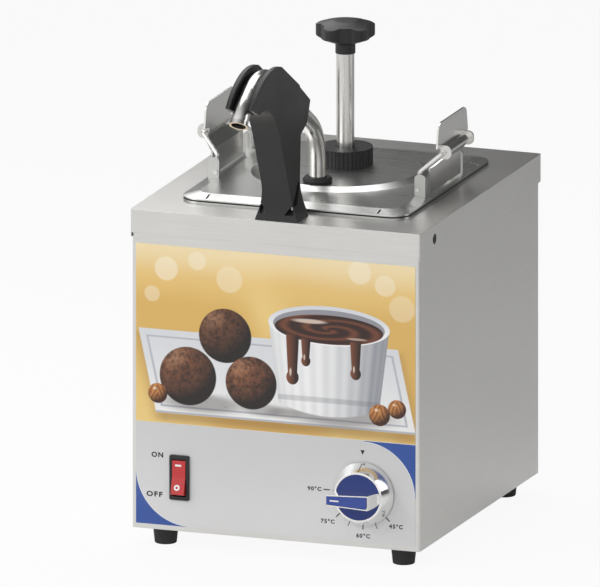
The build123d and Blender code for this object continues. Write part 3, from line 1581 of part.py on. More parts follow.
with BuildPart() as spout_holder:
    with BuildSketch(Plane.YZ) as holder_side:
        with BuildLine():
            Line(spout_point(holder_toe), spout_point(holder_heel))
            Line(spout_point(holder_heel), spout_point(holder_waist_bottom))
            Line(spout_point(holder_waist_bottom), spout_point(holder_waist_top))
            Line(spout_point(holder_waist_top), spout_point(holder_back_under))
            Line(spout_point(holder_back_under), spout_point(holder_back_point))
            Line(spout_point(holder_back_point), spout_point(holder_back_step))
            Line(spout_point(holder_back_step), spout_point(holder_back_top))
            Line(spout_point(holder_back_top), spout_point(holder_crown))
            head_arc = ThreePointArc(
                spout_point(holder_crown), spout_point(holder_head), spout_point(holder_tip)
            )
            Line(spout_point(holder_tip), spout_point(holder_jaw))
            Spline(
                spout_point(holder_jaw),
                spout_point(holder_chin),
                spout_point(holder_front_high),
                spout_point(holder_front_mid),
                spout_point(holder_front_low),
                spout_point(holder_toe),
            )
        make_face()
    extrude(amount=holder_base_width / 2, both=True)
    # the front view: a narrow column that flares to its base
    with BuildSketch(Plane.XZ.offset(-cap_front + 90.0)):
        with BuildLine() as flare_line:
            Line((0, cap_top), (holder_base_width / 2, cap_top))
            Spline(
                (holder_base_width / 2, cap_top),
                (holder_width / 2 + 1.6, cap_top + holder_flare_height * 0.45),
                (holder_width / 2, cap_top + holder_flare_height),
                tangents=[(-0.3, 1), (0, 1)],
            )
            Line(
                (holder_width / 2, cap_top + holder_flare_height),
                (holder_width / 2, cap_top + 130.0),
            )
            Line((holder_width / 2, cap_top + 130.0), (0, cap_top + 130.0))
            mirror(about=Plane.YZ)
        make_face()
    extrude(amount=-150.0, mode=Mode.INTERSECT)
    # bevels along both cheeks of the head, from just behind its crown to past its tip
    head_y, head_z = head_arc.arc_center.X, head_arc.arc_center.Y
    crown_y, crown_z = spout_point(holder_crown)
    tip_y, tip_z = spout_point(holder_tip)
    bevel_start = atan2(crown_z - head_z, crown_y - head_y) - radians(bevel_run_out)
    bevel_end = atan2(tip_z - head_z, tip_y - head_y) + radians(bevel_run_out)
    bevel_plane = Plane(
        origin=(0, head_y, head_z),
        x_dir=(1, 0, 0),
        z_dir=(0, sin(bevel_start), -cos(bevel_start)),
    )
    with BuildSketch(bevel_plane):
        with BuildLine():
            Polyline(
                (holder_width / 2 - 2 * holder_bevel, head_arc.radius + holder_bevel),
                (holder_width / 2 + holder_bevel, head_arc.radius - 2 * holder_bevel),
                (holder_width / 2 + holder_bevel, head_arc.radius + holder_bevel),
                close=True,
            )
        make_face()
        mirror(about=Plane.YZ)
    revolve(
        axis=Axis((0, head_y, head_z), (1, 0, 0)),
        revolution_arc=degrees(bevel_end - bevel_start),
        mode=Mode.SUBTRACT,
    )
    # slot for the tube, open at the top: its floor runs along the underside of the tube
    floor_gap = tube_radius + holder_slot_gap
    route = (tube_riser_bend, tube_crown, tube_nose, tube_end)
    lines = [offset_line(a, b, floor_gap) for a, b in zip(route, route[1:])]
    first_point, first_direction = lines[0]
    last_point, last_direction = lines[-1]
    slot_floor = [
        (first_point[0] - 30.0 * first_direction[0], first_point[1] - 30.0 * first_direction[1]),
        crossing(lines[0], lines[1]),
        crossing(lines[1], lines[2]),
        (last_point[0] + 30.0 * last_direction[0], last_point[1] + 30.0 * last_direction[1]),
    ]
    with BuildSketch(Plane.YZ):
        with BuildLine():
            FilletPolyline(
                *[spout_point(p) for p in slot_floor],
                radius=[tube_crown_radius - floor_gap, tube_nose_radius - floor_gap],
            )
            Polyline(
                spout_point(slot_floor[-1]),
                spout_point((-140.0, slot_floor[-1][1])),
                spout_point((-140.0, 160.0)),
                spout_point((140.0, 160.0)),
                spout_point((140.0, slot_floor[0][1])),
                spout_point(slot_floor[0]),
            )
        make_face()
    extrude(amount=tube_radius + holder_slot_side, both=True, mode=Mode.SUBTRACT)
    # pilot holes for the two screws that come up through the cap
    with BuildSketch(Plane.XY.offset(cap_top)):
        with Locations((0, holder_screw_y)):
            with GridLocations(holder_screw_spacing, 1, 2, 1):
                Circle(holder_screw_radius + push_fit)
    extrude(amount=holder_screw_length, mode=Mode.SUBTRACT)
save(spout_holder, "spout_holder")

with BuildPart() as holder_screws:
    with BuildSketch(Plane.XY.offset(cap_under - sheet)):
        with Locations((0, holder_screw_y)):
            with GridLocations(holder_screw_spacing, 1, 2, 1):
                Circle(holder_screw_radius)
    extrude(amount=holder_screw_length)
    with BuildSketch(Plane.XY.offset(cap_under - sheet)):
        with Locations((0, holder_screw_y)):
            with GridLocations(holder_screw_spacing, 1, 2, 1):
                Circle(screw_head_radius)
    extrude(amount=-screw_head_height)
save(holder_screws, "holder_screws")
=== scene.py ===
import json
import math
import random

import bmesh
import bpy
from mathutils import Matrix, Vector


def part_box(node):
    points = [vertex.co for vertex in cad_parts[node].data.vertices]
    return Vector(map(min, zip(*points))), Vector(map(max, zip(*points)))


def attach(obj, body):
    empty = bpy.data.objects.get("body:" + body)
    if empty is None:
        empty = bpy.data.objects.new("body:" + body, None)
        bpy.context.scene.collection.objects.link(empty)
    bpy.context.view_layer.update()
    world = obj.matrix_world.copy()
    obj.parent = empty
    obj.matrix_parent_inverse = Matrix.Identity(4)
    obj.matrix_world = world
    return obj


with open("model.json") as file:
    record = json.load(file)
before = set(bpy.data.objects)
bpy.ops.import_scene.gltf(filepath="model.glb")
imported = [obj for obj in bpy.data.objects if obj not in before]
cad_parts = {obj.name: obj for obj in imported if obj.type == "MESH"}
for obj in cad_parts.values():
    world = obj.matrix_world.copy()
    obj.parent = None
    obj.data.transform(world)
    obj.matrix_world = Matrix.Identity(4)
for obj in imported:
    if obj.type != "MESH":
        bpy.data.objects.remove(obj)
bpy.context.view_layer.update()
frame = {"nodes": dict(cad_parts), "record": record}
random.seed(7)

MM = 0.001
NODES = frame["nodes"]
SLOT_OF = {row["node"]: row["material_slot"] for row in frame["record"]["subparts"]}

# ---------------------------------------------------------------- places, in millimetres
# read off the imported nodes, so that what is added here sits on them
PICTURE_LOW, PICTURE_HIGH = (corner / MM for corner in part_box("picture_film"))
CONTROL_LOW, CONTROL_HIGH = (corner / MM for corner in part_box("control_film"))
FILM_FACE = PICTURE_LOW.y
SKIRT_LOW, SKIRT_HIGH = (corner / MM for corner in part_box("dial_skirt"))
DIAL_X = (SKIRT_LOW.x + SKIRT_HIGH.x) / 2
DIAL_Z = (SKIRT_LOW.z + SKIRT_HIGH.z) / 2
DIAL_R = (SKIRT_HIGH.x - SKIRT_LOW.x) / 2
SWITCH_LOW, SWITCH_HIGH = (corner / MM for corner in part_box("switch_body"))
SWITCH_X = (SWITCH_LOW.x + SWITCH_HIGH.x) / 2
CAP_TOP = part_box("top_cover")[1].z / MM
LEFT_ARC = 37.7
LEFT_ARC_X = CONTROL_LOW.x + LEFT_ARC + 0.15
LEFT_ARC_Z = CONTROL_LOW.z + LEFT_ARC + 0.2
RIGHT_ARC = 36.2
RIGHT_ARC_X = CONTROL_HIGH.x - RIGHT_ARC - 0.3
RIGHT_ARC_Z = CONTROL_HIGH.z - RIGHT_ARC - 0.5


def srgb(red, green, blue):
    """A display colour, 0 to 255, as the linear colour a shader takes."""
    out = []
    for part in (red, green, blue):
        part = part / 255
        out.append(part / 12.92 if part <= 0.04045 else ((part + 0.055) / 1.055) ** 2.4)
    return (*out, 1.0)


# ---------------------------------------------------------------- shader arithmetic
class Num:
    """A number in a material's node tree, with ordinary arithmetic."""

    def __init__(self, tree, source):
        self.tree = tree
        self.source = source

    def calc(self, operation, *others, clamp=False):
        node = self.tree.nodes.new("ShaderNodeMath")
        node.operation = operation
        node.use_clamp = clamp
        for socket, value in zip(node.inputs, (self, *others)):
            if isinstance(value, Num):
                self.tree.links.new(value.source, socket)
            else:
                socket.default_value = value
        return Num(self.tree, node.outputs[0])

    def __add__(self, other):
        return self.calc("ADD", other)

    __radd__ = __add__

    def __mul__(self, other):
        return self.calc("MULTIPLY", other)

    __rmul__ = __mul__

    def __sub__(self, other):
        return self.calc("SUBTRACT", other)

    def __rsub__(self, other):
        return (self * -1.0) + other

    def __truediv__(self, other):
        return self.calc("DIVIDE", other)

    def __pow__(self, other):
        return self.calc("POWER", other)

    def sqrt(self):
        return self.calc("SQRT")

    def sin(self):
        return self.calc("SINE")

    def abs(self):
        return self.calc("ABSOLUTE")

    def most(self, other):
        return self.calc("MAXIMUM", other)

    def least(self, other):
        return self.calc("MINIMUM", other)

    def angle(self, other):
        return self.calc("ARCTAN2", other)

    def unit(self):
        return self.calc("ADD", 0.0, clamp=True)

    def step(self, low, high, to_low=0.0, to_high=1.0):
        """Runs smoothly from to_low at low to to_high at high."""
        node = self.tree.nodes.new("ShaderNodeMapRange")
        node.interpolation_type = "SMOOTHSTEP"
        self.tree.links.new(self.source, node.inputs[0])
        if low > high:
            low, high, to_low, to_high = high, low, to_high, to_low
        for socket, value in zip(node.inputs[1:5], (low, high, to_low, to_high)):
            socket.default_value = value
        return Num(self.tree, node.outputs[0])


class Paint:
    """A principled material under construction."""

    def __init__(self, name):
        self.material = bpy.data.materials.new(name)
        self.material.use_nodes = True
        self.tree = self.material.node_tree
        self.shader = self.tree.nodes["Principled BSDF"]
        self.place = self.tree.nodes.new("ShaderNodeTexCoord").outputs["Object"]
        split = self.tree.nodes.new("ShaderNodeSeparateXYZ")
        self.tree.links.new(self.place, split.inputs[0])
        self.x, self.y, self.z = (Num(self.tree, out) * (1 / MM) for out in split.outputs)

    def set(self, **values):
        """Fixed values on the shader's own sockets."""
        for name, value in values.items():
            self.shader.inputs[name.replace("_", " ")].default_value = value
        return self

    def drive(self, name, value):
        self.tree.links.new(value.source if isinstance(value, Num) else value, self.shader.inputs[name])
        return self

    def noise(self, scale, detail=3.0, rough=0.5, stretch=(1, 1, 1), shift=(0, 0, 0)):
        """Noise in about 0..1; scale is in features a metre."""
        mapping = self.tree.nodes.new("ShaderNodeMapping")
        mapping.inputs["Scale"].default_value = [scale * part for part in stretch]
        mapping.inputs["Location"].default_value = shift
        self.tree.links.new(self.place, mapping.inputs["Vector"])
        node = self.tree.nodes.new("ShaderNodeTexNoise")
        node.inputs["Scale"].default_value = 1.0
        node.inputs["Detail"].default_value = detail
        node.inputs["Roughness"].default_value = rough
        self.tree.links.new(mapping.outputs[0], node.inputs["Vector"])
        return Num(self.tree, node.outputs[0])

    def cells(self, scale, stretch=(1, 1, 1)):
        mapping = self.tree.nodes.new("ShaderNodeMapping")
        mapping.inputs["Scale"].default_value = [scale * part for part in stretch]
        self.tree.links.new(self.place, mapping.inputs["Vector"])
        node = self.tree.nodes.new("ShaderNodeTexVoronoi")
        node.inputs["Scale"].default_value = 1.0
        self.tree.links.new(mapping.outputs[0], node.inputs["Vector"])
        return Num(self.tree, node.outputs[0])

    def mix(self, factor, first, second):
        """first where factor is 0, second where it is 1; each a colour or a link."""
        node = self.tree.nodes.new("ShaderNodeMix")
        node.data_type = "RGBA"
        self.tree.links.new(factor.source, node.inputs[0])
        for socket, value in zip((node.inputs[6], node.inputs[7]), (first, second)):
            if isinstance(value, tuple):
                socket.default_value = value
            else:
                self.tree.links.new(value, socket)
        return node.outputs[2]

    def bump(self, height, strength, distance, edge=0.0):
        """Fine relief, on edges rounded in the shading by edge metres."""
        node = self.tree.nodes.new("ShaderNodeBump")
        node.inputs["Strength"].default_value = strength
        node.inputs["Distance"].default_value = distance
        self.tree.links.new(height.source, node.inputs["Height"])
        if edge:
            round_edge = self.tree.nodes.new("ShaderNodeBevel")
            round_edge.samples = 4
            round_edge.inputs["Radius"].default_value = edge
            self.tree.links.new(round_edge.outputs[0], node.inputs["Normal"])
        self.tree.links.new(node.outputs[0], self.shader.inputs["Normal"])
        return self

    def upward(self):
        """1 on faces that look up or down, 0 on upright ones."""
        geometry = self.tree.nodes.new("ShaderNodeNewGeometry")
        split = self.tree.nodes.new("ShaderNodeSeparateXYZ")
        self.tree.links.new(geometry.outputs["True Normal"], split.inputs[0])
        return Num(self.tree, split.outputs[2]).abs().step(0.55, 0.8)


def tint(colour, factor):
    return (*(min(1.0, part * factor) for part in colour[:3]), 1.0)


def brushed(name, colour, rough, grain=0.05, edge=0.0003, along=(28, 28, 950), flat_along=(28, 950, 28)):
    """Brushed sheet: fine streaks along the sheet's long way, with slow cloudiness."""
    paint = Paint(name)
    up = paint.upward()
    side_streak = paint.noise(1.0, 4.0, 0.65, along)
    flat_streak = paint.noise(1.0, 4.0, 0.65, flat_along)
    streak = side_streak * (1.0 - up) + flat_streak * up
    cloud = paint.noise(9.0, 3.0)
    tone = ((streak - 0.5) * 0.7 + (cloud - 0.5) * 0.35 + 0.5).unit()
    paint.drive("Base Color", paint.mix(tone, tint(colour, 1 - 2 * grain), tint(colour, 1 + 2 * grain)))
    paint.drive("Roughness", (streak - 0.5) * 0.12 + (cloud - 0.5) * 0.06 + rough)
    paint.set(Metallic=1.0)
    paint.bump(streak, 0.10, 0.00006, edge)
    return paint.material


def polished(name, colour, rough, grain=0.02, edge=0.0):
    """Polished or plated metal with faint handling marks."""
    paint = Paint(name)
    haze = paint.noise(60.0, 4.0, 0.6)
    fine = paint.noise(900.0, 2.0, 0.6)
    paint.drive("Base Color", paint.mix(haze, tint(colour, 1 - grain), tint(colour, 1 + grain)))
    paint.drive("Roughness", (haze - 0.5) * rough * 0.6 + (fine - 0.5) * 0.02 + rough)
    paint.set(Metallic=1.0)
    paint.bump(fine, 0.04, 0.00003, edge)
    return paint.material


def moulded(name, colour, rough, grain=0.0, size=1500.0, edge=0.0004, coat=0.0, depth=0.00005):
    """Moulded plastic or rubber: fine grain in the surface, slow changes in tone and gloss."""
    paint = Paint(name)
    fine = paint.noise(size, 3.0, 0.6)
    slow = paint.noise(35.0, 3.0)
    tone = ((fine - 0.5) * 0.6 + (slow - 0.5) * 0.7 + 0.5).unit()
    paint.drive("Base Color", paint.mix(tone, tint(colour, 1 - 0.18 - grain), tint(colour, 1 + 0.18 + grain)))
    paint.drive("Roughness", (slow - 0.5) * 0.14 + (fine - 0.5) * 0.08 + rough)
    paint.set(Coat_Weight=coat, Coat_Roughness=0.12)
    paint.bump(fine, 0.25, depth, edge)
    return paint.material


# ---------------------------------------------------------------- the printed films
class Picture:
    """Layers of colour painted over one another in the plane of the film, u right and v up, in mm."""

    def __init__(self, paint, ground, v):
        self.paint = paint
        self.colour = ground
        self.u = paint.x
        self.v = v

    def over(self, mask, colour):
        self.colour = self.paint.mix(mask.unit(), self.colour, colour)

    def ellipse(self, cu, cv, ru, rv):
        """Distance from the centre, 1 on the outline."""
        du = (self.u - cu) / ru
        dv = (self.v - cv) / rv
        return (du * du + dv * dv).sqrt()

    def ball(self, cu, cv, radius, light=(-0.45, 0.62, 0.64)):
        """A mask and the light on a ball that looks out of the film."""
        du = (self.u - cu) / radius
        dv = (self.v - cv) / radius
        flat = du * du + dv * dv
        out = (1.0 - flat).most(0.0).sqrt()
        lit = (du * light[0] + dv * light[1] + out * light[2]).most(0.0)
        return flat.sqrt().step(1.0, 0.965), lit, du, dv


def picture_material():
    """A still life of the maker's own kind: a ribbed white cup of sauce and rolled truffles on linen."""
    paint = Paint("picture_print")
    # v is 206 at the film's upper edge
    u, v = paint.x, paint.z - (PICTURE_HIGH.z - 206.0)
    # linen: a crossed weave with folds, out of focus towards the top
    weave_u = (u * 3.4 + paint.noise(60.0, 2.0) * 5.0).sin()
    weave_v = (v * 3.4 + paint.noise(60.0, 2.0, shift=(3, 1, 2)) * 5.0).sin()
    near = v.step(176.0, 96.0)
    weave = (weave_u * weave_v * 0.5 + 0.5) * near + (1.0 - near) * 0.5
    fold = paint.noise(16.0, 2.0, stretch=(1.0, 1.0, 0.55))
    crease = ((u * 0.045 + v * 0.03 + fold * 5.0).sin() * 0.5 + 0.5) ** 2.0
    cloth = paint.mix(
        (weave * 0.55 + crease * 0.45).unit(), srgb(212, 164, 74), srgb(248, 219, 146)
    )
    art = Picture(paint, cloth, v)
    # a pale band of daylight across the back, with soft round spots
    back = v.step(163.0, 186.0)
    art.over(back * 0.7, srgb(240, 204, 128))
    art.over((v - 8.0 * fold).step(176.0, 202.0) * 0.8, srgb(250, 232, 190))
    for cu, cv, radius, strength in (
        (-78, 190, 9, 0.5), (-56, 197, 7, 0.4), (-33, 186, 10, 0.35), (-88, 172, 6, 0.35),
        (78, 191, 8, 0.4), (60, 199, 9, 0.45), (90, 176, 10, 0.3),
    ):
        spot = art.ellipse(cu, cv, radius, radius)
        art.over(spot.step(1.0, 0.82) * strength, srgb(255, 246, 222))
    # an oblong white board lies under everything
    board_u = (u + (v - 119.0) * 0.22 - 1.0).abs()
    board = board_u.step(93.0, 92.0) * (v - 119.0).abs().step(29.0, 28.4)
    board_shadow = board_u.step(101.0, 86.0) * (v - 115.0).abs().step(34.0, 27.0)
    art.over(board_shadow * 0.5, srgb(128, 82, 24))
    art.over(board, paint.mix(v.step(90.0, 147.0), srgb(240, 240, 239), srgb(219, 221, 225)))
    # its raised lip, a line that runs round inside the edge
    lip = board_u.step(88.5, 87.5) * (v - 119.0).abs().step(24.6, 24.0)
    inside = board_u.step(87.0, 86.0) * (v - 119.0).abs().step(23.4, 22.8)
    art.over(board * (lip - inside), srgb(184, 188, 196))
    art.over(board * (v - 90.8).abs().step(1.2, 0.4), srgb(178, 182, 190))
    # soft shadows on the board
    for cu, cv, ru, rv, strength in (
        (46, 99, 52, 12, 0.6), (-52, 99, 40, 9, 0.6), (-8, 98, 20, 6, 0.5), (6, 97, 18, 5, 0.4),
    ):
        art.over(art.ellipse(cu, cv, ru, rv).step(1.0, 0.4) * strength, srgb(92, 84, 82))
    # the cup: a ribbed wall that narrows to its foot, and an elliptical rim
    cup_u, rim_v, foot_v = 38.0, 160.0, 104.0
    cup_half = (v - foot_v) * 0.13 + 36.0
    across = (u - cup_u) / cup_half
    foot_curve = v - (across * across).most(0.0) * 7.0 - (foot_v - 7.0)
    wall = across.abs().step(1.0, 0.985) * foot_curve.step(-0.4, 0.8) * v.step(rim_v + 0.6, rim_v - 0.4)
    depth = (1.0 - across * across).most(0.0001).sqrt()
    round_angle = across.angle(depth)
    rib = (round_angle * 26.0).sin() * 0.5 + 0.5
    lit = (across * -0.55 + depth * 0.75).unit()
    shade = (lit * 0.78 + rib * 0.16 * depth + 0.12).unit()
    art.over(wall, paint.mix(shade, srgb(128, 132, 142), srgb(250, 250, 250)))
    art.over(wall * (v - 108.5).abs().step(2.4, 1.2) * 0.35, srgb(112, 114, 122))
    rim = art.ellipse(cup_u, rim_v, 43.6, 13.6)
    art.over(rim.step(1.0, 0.985), paint.mix(v.step(148.0, 172.0), srgb(252, 252, 252), srgb(218, 220, 226)))
    art.over(art.ellipse(cup_u, rim_v - 0.6, 40.2, 11.6).step(1.0, 0.98), srgb(150, 150, 158))
    # the sauce, with a stirred swirl and two highlights
    pool = art.ellipse(cup_u, rim_v - 2.6, 39.2, 10.2)
    turn = ((v - rim_v + 2.6) * 3.84).angle(u - cup_u)
    swirl = (pool * 15.0 + turn * 2.0 + fold * 3.0).sin() * 0.5 + 0.5
    sauce = paint.mix(swirl ** 2.2, srgb(46, 20, 12), srgb(112, 62, 40))
    art.over(pool.step(1.0, 0.975), sauce)
    art.over(art.ellipse(cup_u - 14, rim_v + 2.2, 15, 1.9).step(1.0, 0.5) * 0.75, srgb(236, 214, 200))
    art.over(art.ellipse(cup_u + 20, rim_v - 7.6, 9, 1.1).step(1.0, 0.5) * 0.6, srgb(222, 190, 170))
    # sauce that has run over the rim and down the ribs
    for cu, top, low, half in ((12.0, 152.0, 122.0, 4.6), (21.5, 150.0, 134.0, 3.4), (57.0, 150.5, 128.0, 3.9)):
        run = ((v - low) / (top - low)).unit()
        width = run * (half * 0.35) + half * 0.72
        side = ((u - cu) / width)
        body = side.abs().step(1.0, 0.9) * v.step(top + 1.0, top - 1.0) * v.step(low - 0.2, low + 0.8)
        drop = art.ellipse(cu, low + 0.6, half, half * 1.15)
        blot = body.most(drop.step(1.0, 0.93))
        art.over(blot, paint.mix((side * -0.6 + 0.35).unit(), srgb(44, 19, 11), srgb(128, 74, 48)))
        art.over(art.ellipse(cu - half * 0.32, low + half * 0.9, half * 0.22, half * 0.8).step(1.0, 0.4) * 0.8,
                 srgb(240, 220, 206))
    # truffles, dusted with cocoa
    crumb = paint.noise(420.0, 5.0, 0.7)
    coarse = paint.noise(150.0, 4.0, 0.65)
    for cu, cv, radius, tone in (
        (-36.0, 147.0, 19.0, 0.9), (-62.5, 117.0, 20.5, 1.0), (-17.5, 116.0, 18.5, 1.1),
    ):
        mask, light, du, dv = art.ball(cu, cv, radius)
        dust = ((crumb - 0.42) * 2.6 + (coarse - 0.5) * 1.6 + 0.35).unit()
        body = paint.mix(dust, srgb(40 * tone, 20 * tone, 13 * tone), srgb(134 * tone, 84 * tone, 56 * tone))
        art.over(mask, paint.mix((light * 1.05 + 0.02).unit(), srgb(18, 9, 6), body))
        art.over(mask * (light - 0.86).most(0.0) * 3.2 * dust, srgb(206, 158, 122))
        art.over(mask * dv.step(-0.55, -0.98) * 0.6, srgb(16, 8, 6))
    # shelled hazelnuts at the front
    for cu, cv, radius in ((-84.0, 103.5, 7.0), (74.0, 101.5, 7.6), (86.5, 106.5, 6.6)):
        mask, light, du, dv = art.ball(cu, cv, radius)
        vein = ((dv * 2.0 + du.abs() * 5.0 + coarse * 4.0) * 3.0).sin() * 0.5 + 0.5
        shell = paint.mix(vein, srgb(150, 88, 40), srgb(206, 142, 80))
        art.over(mask, paint.mix((light * 1.15).unit(), srgb(62, 30, 12), shell))
        art.over(art.ellipse(cu - radius * 0.3, cv + radius * 0.45, radius * 0.28, radius * 0.2).step(1.0, 0.2) * 0.7,
                 srgb(250, 232, 206))
    # cocoa dust spilt on the board
    spill = (crumb - 0.6).most(0.0) * 6.0 * board * art.ellipse(-40, 101, 56, 9).step(1.0, 0.3)
    art.over(spill.unit() * 0.85, srgb(88, 50, 30))
    grain = paint.noise(2600.0, 2.0)
    paint.drive("Base Color", art.colour)
    paint.drive("Roughness", (grain - 0.5) * 0.08 + 0.36)
    paint.set(Coat_Weight=0.25, Coat_Roughness=0.22)
    paint.bump(grain, 0.06, 0.00002)
    return paint.material


def panel_material():
    """Silver-grey film with two blue corners, each cut by an arc with a pale edge."""
    paint = Paint("panel_print")
    u, v = paint.x, paint.z
    blue = srgb(38, 78, 158)
    ground = paint.mix(v.step(CONTROL_LOW.z, CONTROL_HIGH.z), srgb(220, 220, 220), srgb(208, 208, 209))
    art = Picture(paint, ground, v)
    flake = paint.noise(5200.0, 2.0)
    slow = paint.noise(14.0, 2.0)
    right = art.ellipse(RIGHT_ARC_X, RIGHT_ARC_Z, RIGHT_ARC, RIGHT_ARC)
    left = art.ellipse(LEFT_ARC_X, LEFT_ARC_Z, LEFT_ARC, LEFT_ARC)
    right_corner = (u - RIGHT_ARC_X).step(0.0, 0.1) * (v - RIGHT_ARC_Z).step(0.0, 0.1)
    left_corner = (u - LEFT_ARC_X).step(0.0, -0.1) * (v - LEFT_ARC_Z).step(0.0, -0.1)
    for ring, corner in ((right, right_corner), (left, left_corner)):
        art.over(corner * ring.step(0.988, 0.993), srgb(232, 234, 238))
        art.over(corner * ring.step(1.0, 1.005), blue)
    art.over(((flake - 0.5) * 0.5 + (slow - 0.5) * 0.3).most(0.0), srgb(244, 244, 246))
    paint.drive("Base Color", art.colour)
    paint.drive("Roughness", (flake - 0.5) * 0.12 + 0.34)
    paint.set(Metallic=0.15, Coat_Weight=0.15, Coat_Roughness=0.25)
    paint.bump(flake, 0.05, 0.00002)
    return paint.material


STEEL = srgb(226, 225, 222)
MATERIALS = {
    "housing_steel": brushed("housing_brushed", STEEL, 0.33),
    "inner_steel": brushed("inner_steel", srgb(198, 198, 196), 0.30, 0.04),
    "lid_steel": brushed("lid_brushed", srgb(206, 206, 204), 0.29, 0.035, flat_along=(26, 700, 26)),
    "polished_steel": polished("polished_steel", srgb(228, 227, 224), 0.22),
    "zinc_steel": polished("zinc_plate", srgb(190, 192, 194), 0.30, 0.06, edge=0.0002),
    "sheath_steel": polished("element_sheath", srgb(92, 88, 84), 0.45, 0.20),
    "ball_steel": polished("ball_steel", srgb(214, 214, 214), 0.08),
    "spring_steel": polished("spring_wire", srgb(188, 188, 186), 0.26, 0.05),
    "aluminium": brushed("rolled_aluminium", srgb(214, 215, 218), 0.38, 0.05),
    "copper_alloy": polished("copper_alloy", srgb(196, 140, 104), 0.30, 0.08),
    "white_ceramic": moulded("white_ceramic", srgb(226, 224, 216), 0.5, edge=0.0003),
    "grey_plastic": moulded("grey_plastic", srgb(92, 92, 92), 0.5),
    "black_rubber": moulded("black_rubber", srgb(36, 36, 36), 0.66, size=900.0, edge=0.0003),
    "black_plastic": moulded("black_plastic", srgb(31, 31, 32), 0.42),
    "white_plastic": moulded("white_plastic", srgb(232, 232, 228), 0.42, grain=-0.12),
    "printed_film": picture_material(),
    "panel_film": panel_material(),
    "red_plastic": moulded("red_plastic", srgb(196, 34, 38), 0.22, grain=-0.10, coat=0.6),
    "blue_plastic": moulded("blue_plastic", srgb(34, 66, 150), 0.25, grain=-0.08, coat=0.5),
    "chrome_plate": polished("chrome_plate", srgb(246, 246, 245), 0.11, edge=0.0003),
    "face_blue": moulded("dial_face_blue", srgb(20, 48, 122), 0.42, grain=-0.06, coat=0.12),
    "print_black": moulded("print_black", srgb(34, 34, 36), 0.5, edge=0.0),
    "print_white": moulded("print_white", srgb(242, 242, 242), 0.4, grain=-0.14, edge=0.0),
}
NODE_MATERIAL = {"dial_face": "face_blue"}

for node_name, node_object in NODES.items():
    chosen = MATERIALS[NODE_MATERIAL.get(node_name, SLOT_OF[node_name])]
    if not node_object.material_slots:
        node_object.data.materials.append(chosen)
    for material_slot in node_object.material_slots:
        material_slot.material = chosen


# ---------------------------------------------------------------- printed marks
def new_piece(name, mesh, material, body):
    piece = bpy.data.objects.new(name, mesh)
    bpy.context.scene.collection.objects.link(piece)
    mesh.materials.clear()
    mesh.materials.append(MATERIALS[material])
    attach(piece, body)
    return piece


def flat_shape(outlines, place, tilt=0.0, depth=0.06):
    """Thin plates with the given outlines, across and up from place, on a face that looks to -y.

    tilt, in radians, leans the face so that it also looks up.
    """
    up = Vector((0, math.sin(tilt), math.cos(tilt)))
    out = Vector((0, -math.cos(tilt), math.sin(tilt)))
    work = bmesh.new()
    for outline in outlines:
        corners = [Vector(place) + Vector((across, 0, 0)) + up * high for across, high in outline]
        ring = [work.verts.new((corner + out * depth) * MM) for corner in corners]
        made = bmesh.ops.extrude_face_region(work, geom=[work.faces.new(ring)])
        for part in made["geom"]:
            if isinstance(part, bmesh.types.BMVert):
                part.co -= out * (depth + 0.02) * MM
    bmesh.ops.recalc_face_normals(work, faces=work.faces)
    mesh = bpy.data.meshes.new("mark")
    work.to_mesh(mesh)
    work.free()
    return mesh


def ring_outlines(inner, outer, count=24):
    """A flat ring as four-sided plates."""
    turns = [2 * math.pi * step / count for step in range(count + 1)]
    return [
        [(radius * math.cos(turn), radius * math.sin(turn))
         for radius, turn in ((inner, a), (outer, a), (outer, b), (inner, b))]
        for a, b in zip(turns, turns[1:])
    ]


def bar(x0, z0, x1, z1, width):
    """Four corners of a straight stroke."""
    run = Vector((x1 - x0, z1 - z0)).normalized() * (width / 2)
    return [
        (x0 - run.y, z0 + run.x), (x1 - run.y, z1 + run.x), (x1 + run.y, z1 - run.x), (x0 + run.y, z0 - run.x),
    ]


def lettering(name, text, x, z, width, height, body="housing"):
    """Printed characters centred on x, z, fitted to a width and a height."""
    curve = bpy.data.curves.new(name, "FONT")
    curve.body = text
    curve.extrude = 0.02
    curve.offset = 0.036
    curve.space_character = 1.22
    curve.resolution_u = 3
    holder = bpy.data.objects.new(name + "_curve", curve)
    bpy.context.scene.collection.objects.link(holder)
    bpy.context.view_layer.update()
    mesh = bpy.data.meshes.new_from_object(holder.evaluated_get(bpy.context.evaluated_depsgraph_get()))
    bpy.data.objects.remove(holder)
    xs = [vertex.co.x for vertex in mesh.vertices]
    ys = [vertex.co.y for vertex in mesh.vertices]
    for vertex in mesh.vertices:
        u = (vertex.co.x - (min(xs) + max(xs)) / 2) / (max(xs) - min(xs)) * width
        v = (vertex.co.y - (min(ys) + max(ys)) / 2) / (max(ys) - min(ys)) * height
        vertex.co = Vector(((x + u) * MM, (FILM_FACE - 0.03 - vertex.co.z * 1.5) * MM, (DIAL_Z + z + v) * MM))
    return new_piece(name, mesh, "print_black", body)


# heights are given from the middle of the switch and the dial
lettering("print_on", "ON", -84.3, 14.5, 8.3, 3.7)
lettering("print_off", "OFF", -86.3, -12.8, 11.5, 3.7)
for label, x, z in (("90°C", 27.6, 0.6), ("75°C", 37.1, -21.1), ("60°C", 62.3, -29.1), ("45°C", 85.7, -20.8)):
    lettering("print_" + label[:2], label, x, z, 9.8, 3.1)

ticks = [
    bar(34.1, 0.6, 38.6, 0.6, 0.75),
    bar(43.1, -17.6, 45.7, -15.0, 0.75),
    bar(62.2, -24.8, 62.2, -21.5, 0.75),
    bar(81.2, -17.7, 78.6, -15.1, 0.75),
    bar(51.5, -23.1, 52.9, -20.2, 0.5),
    bar(72.5, -23.4, 71.1, -20.5, 0.5),
    [(60.4, 30.0), (63.5, 30.0), (61.95, 26.8)],
]
new_piece("print_ticks", flat_shape(ticks, (0, FILM_FACE, DIAL_Z)), "print_black", "housing")

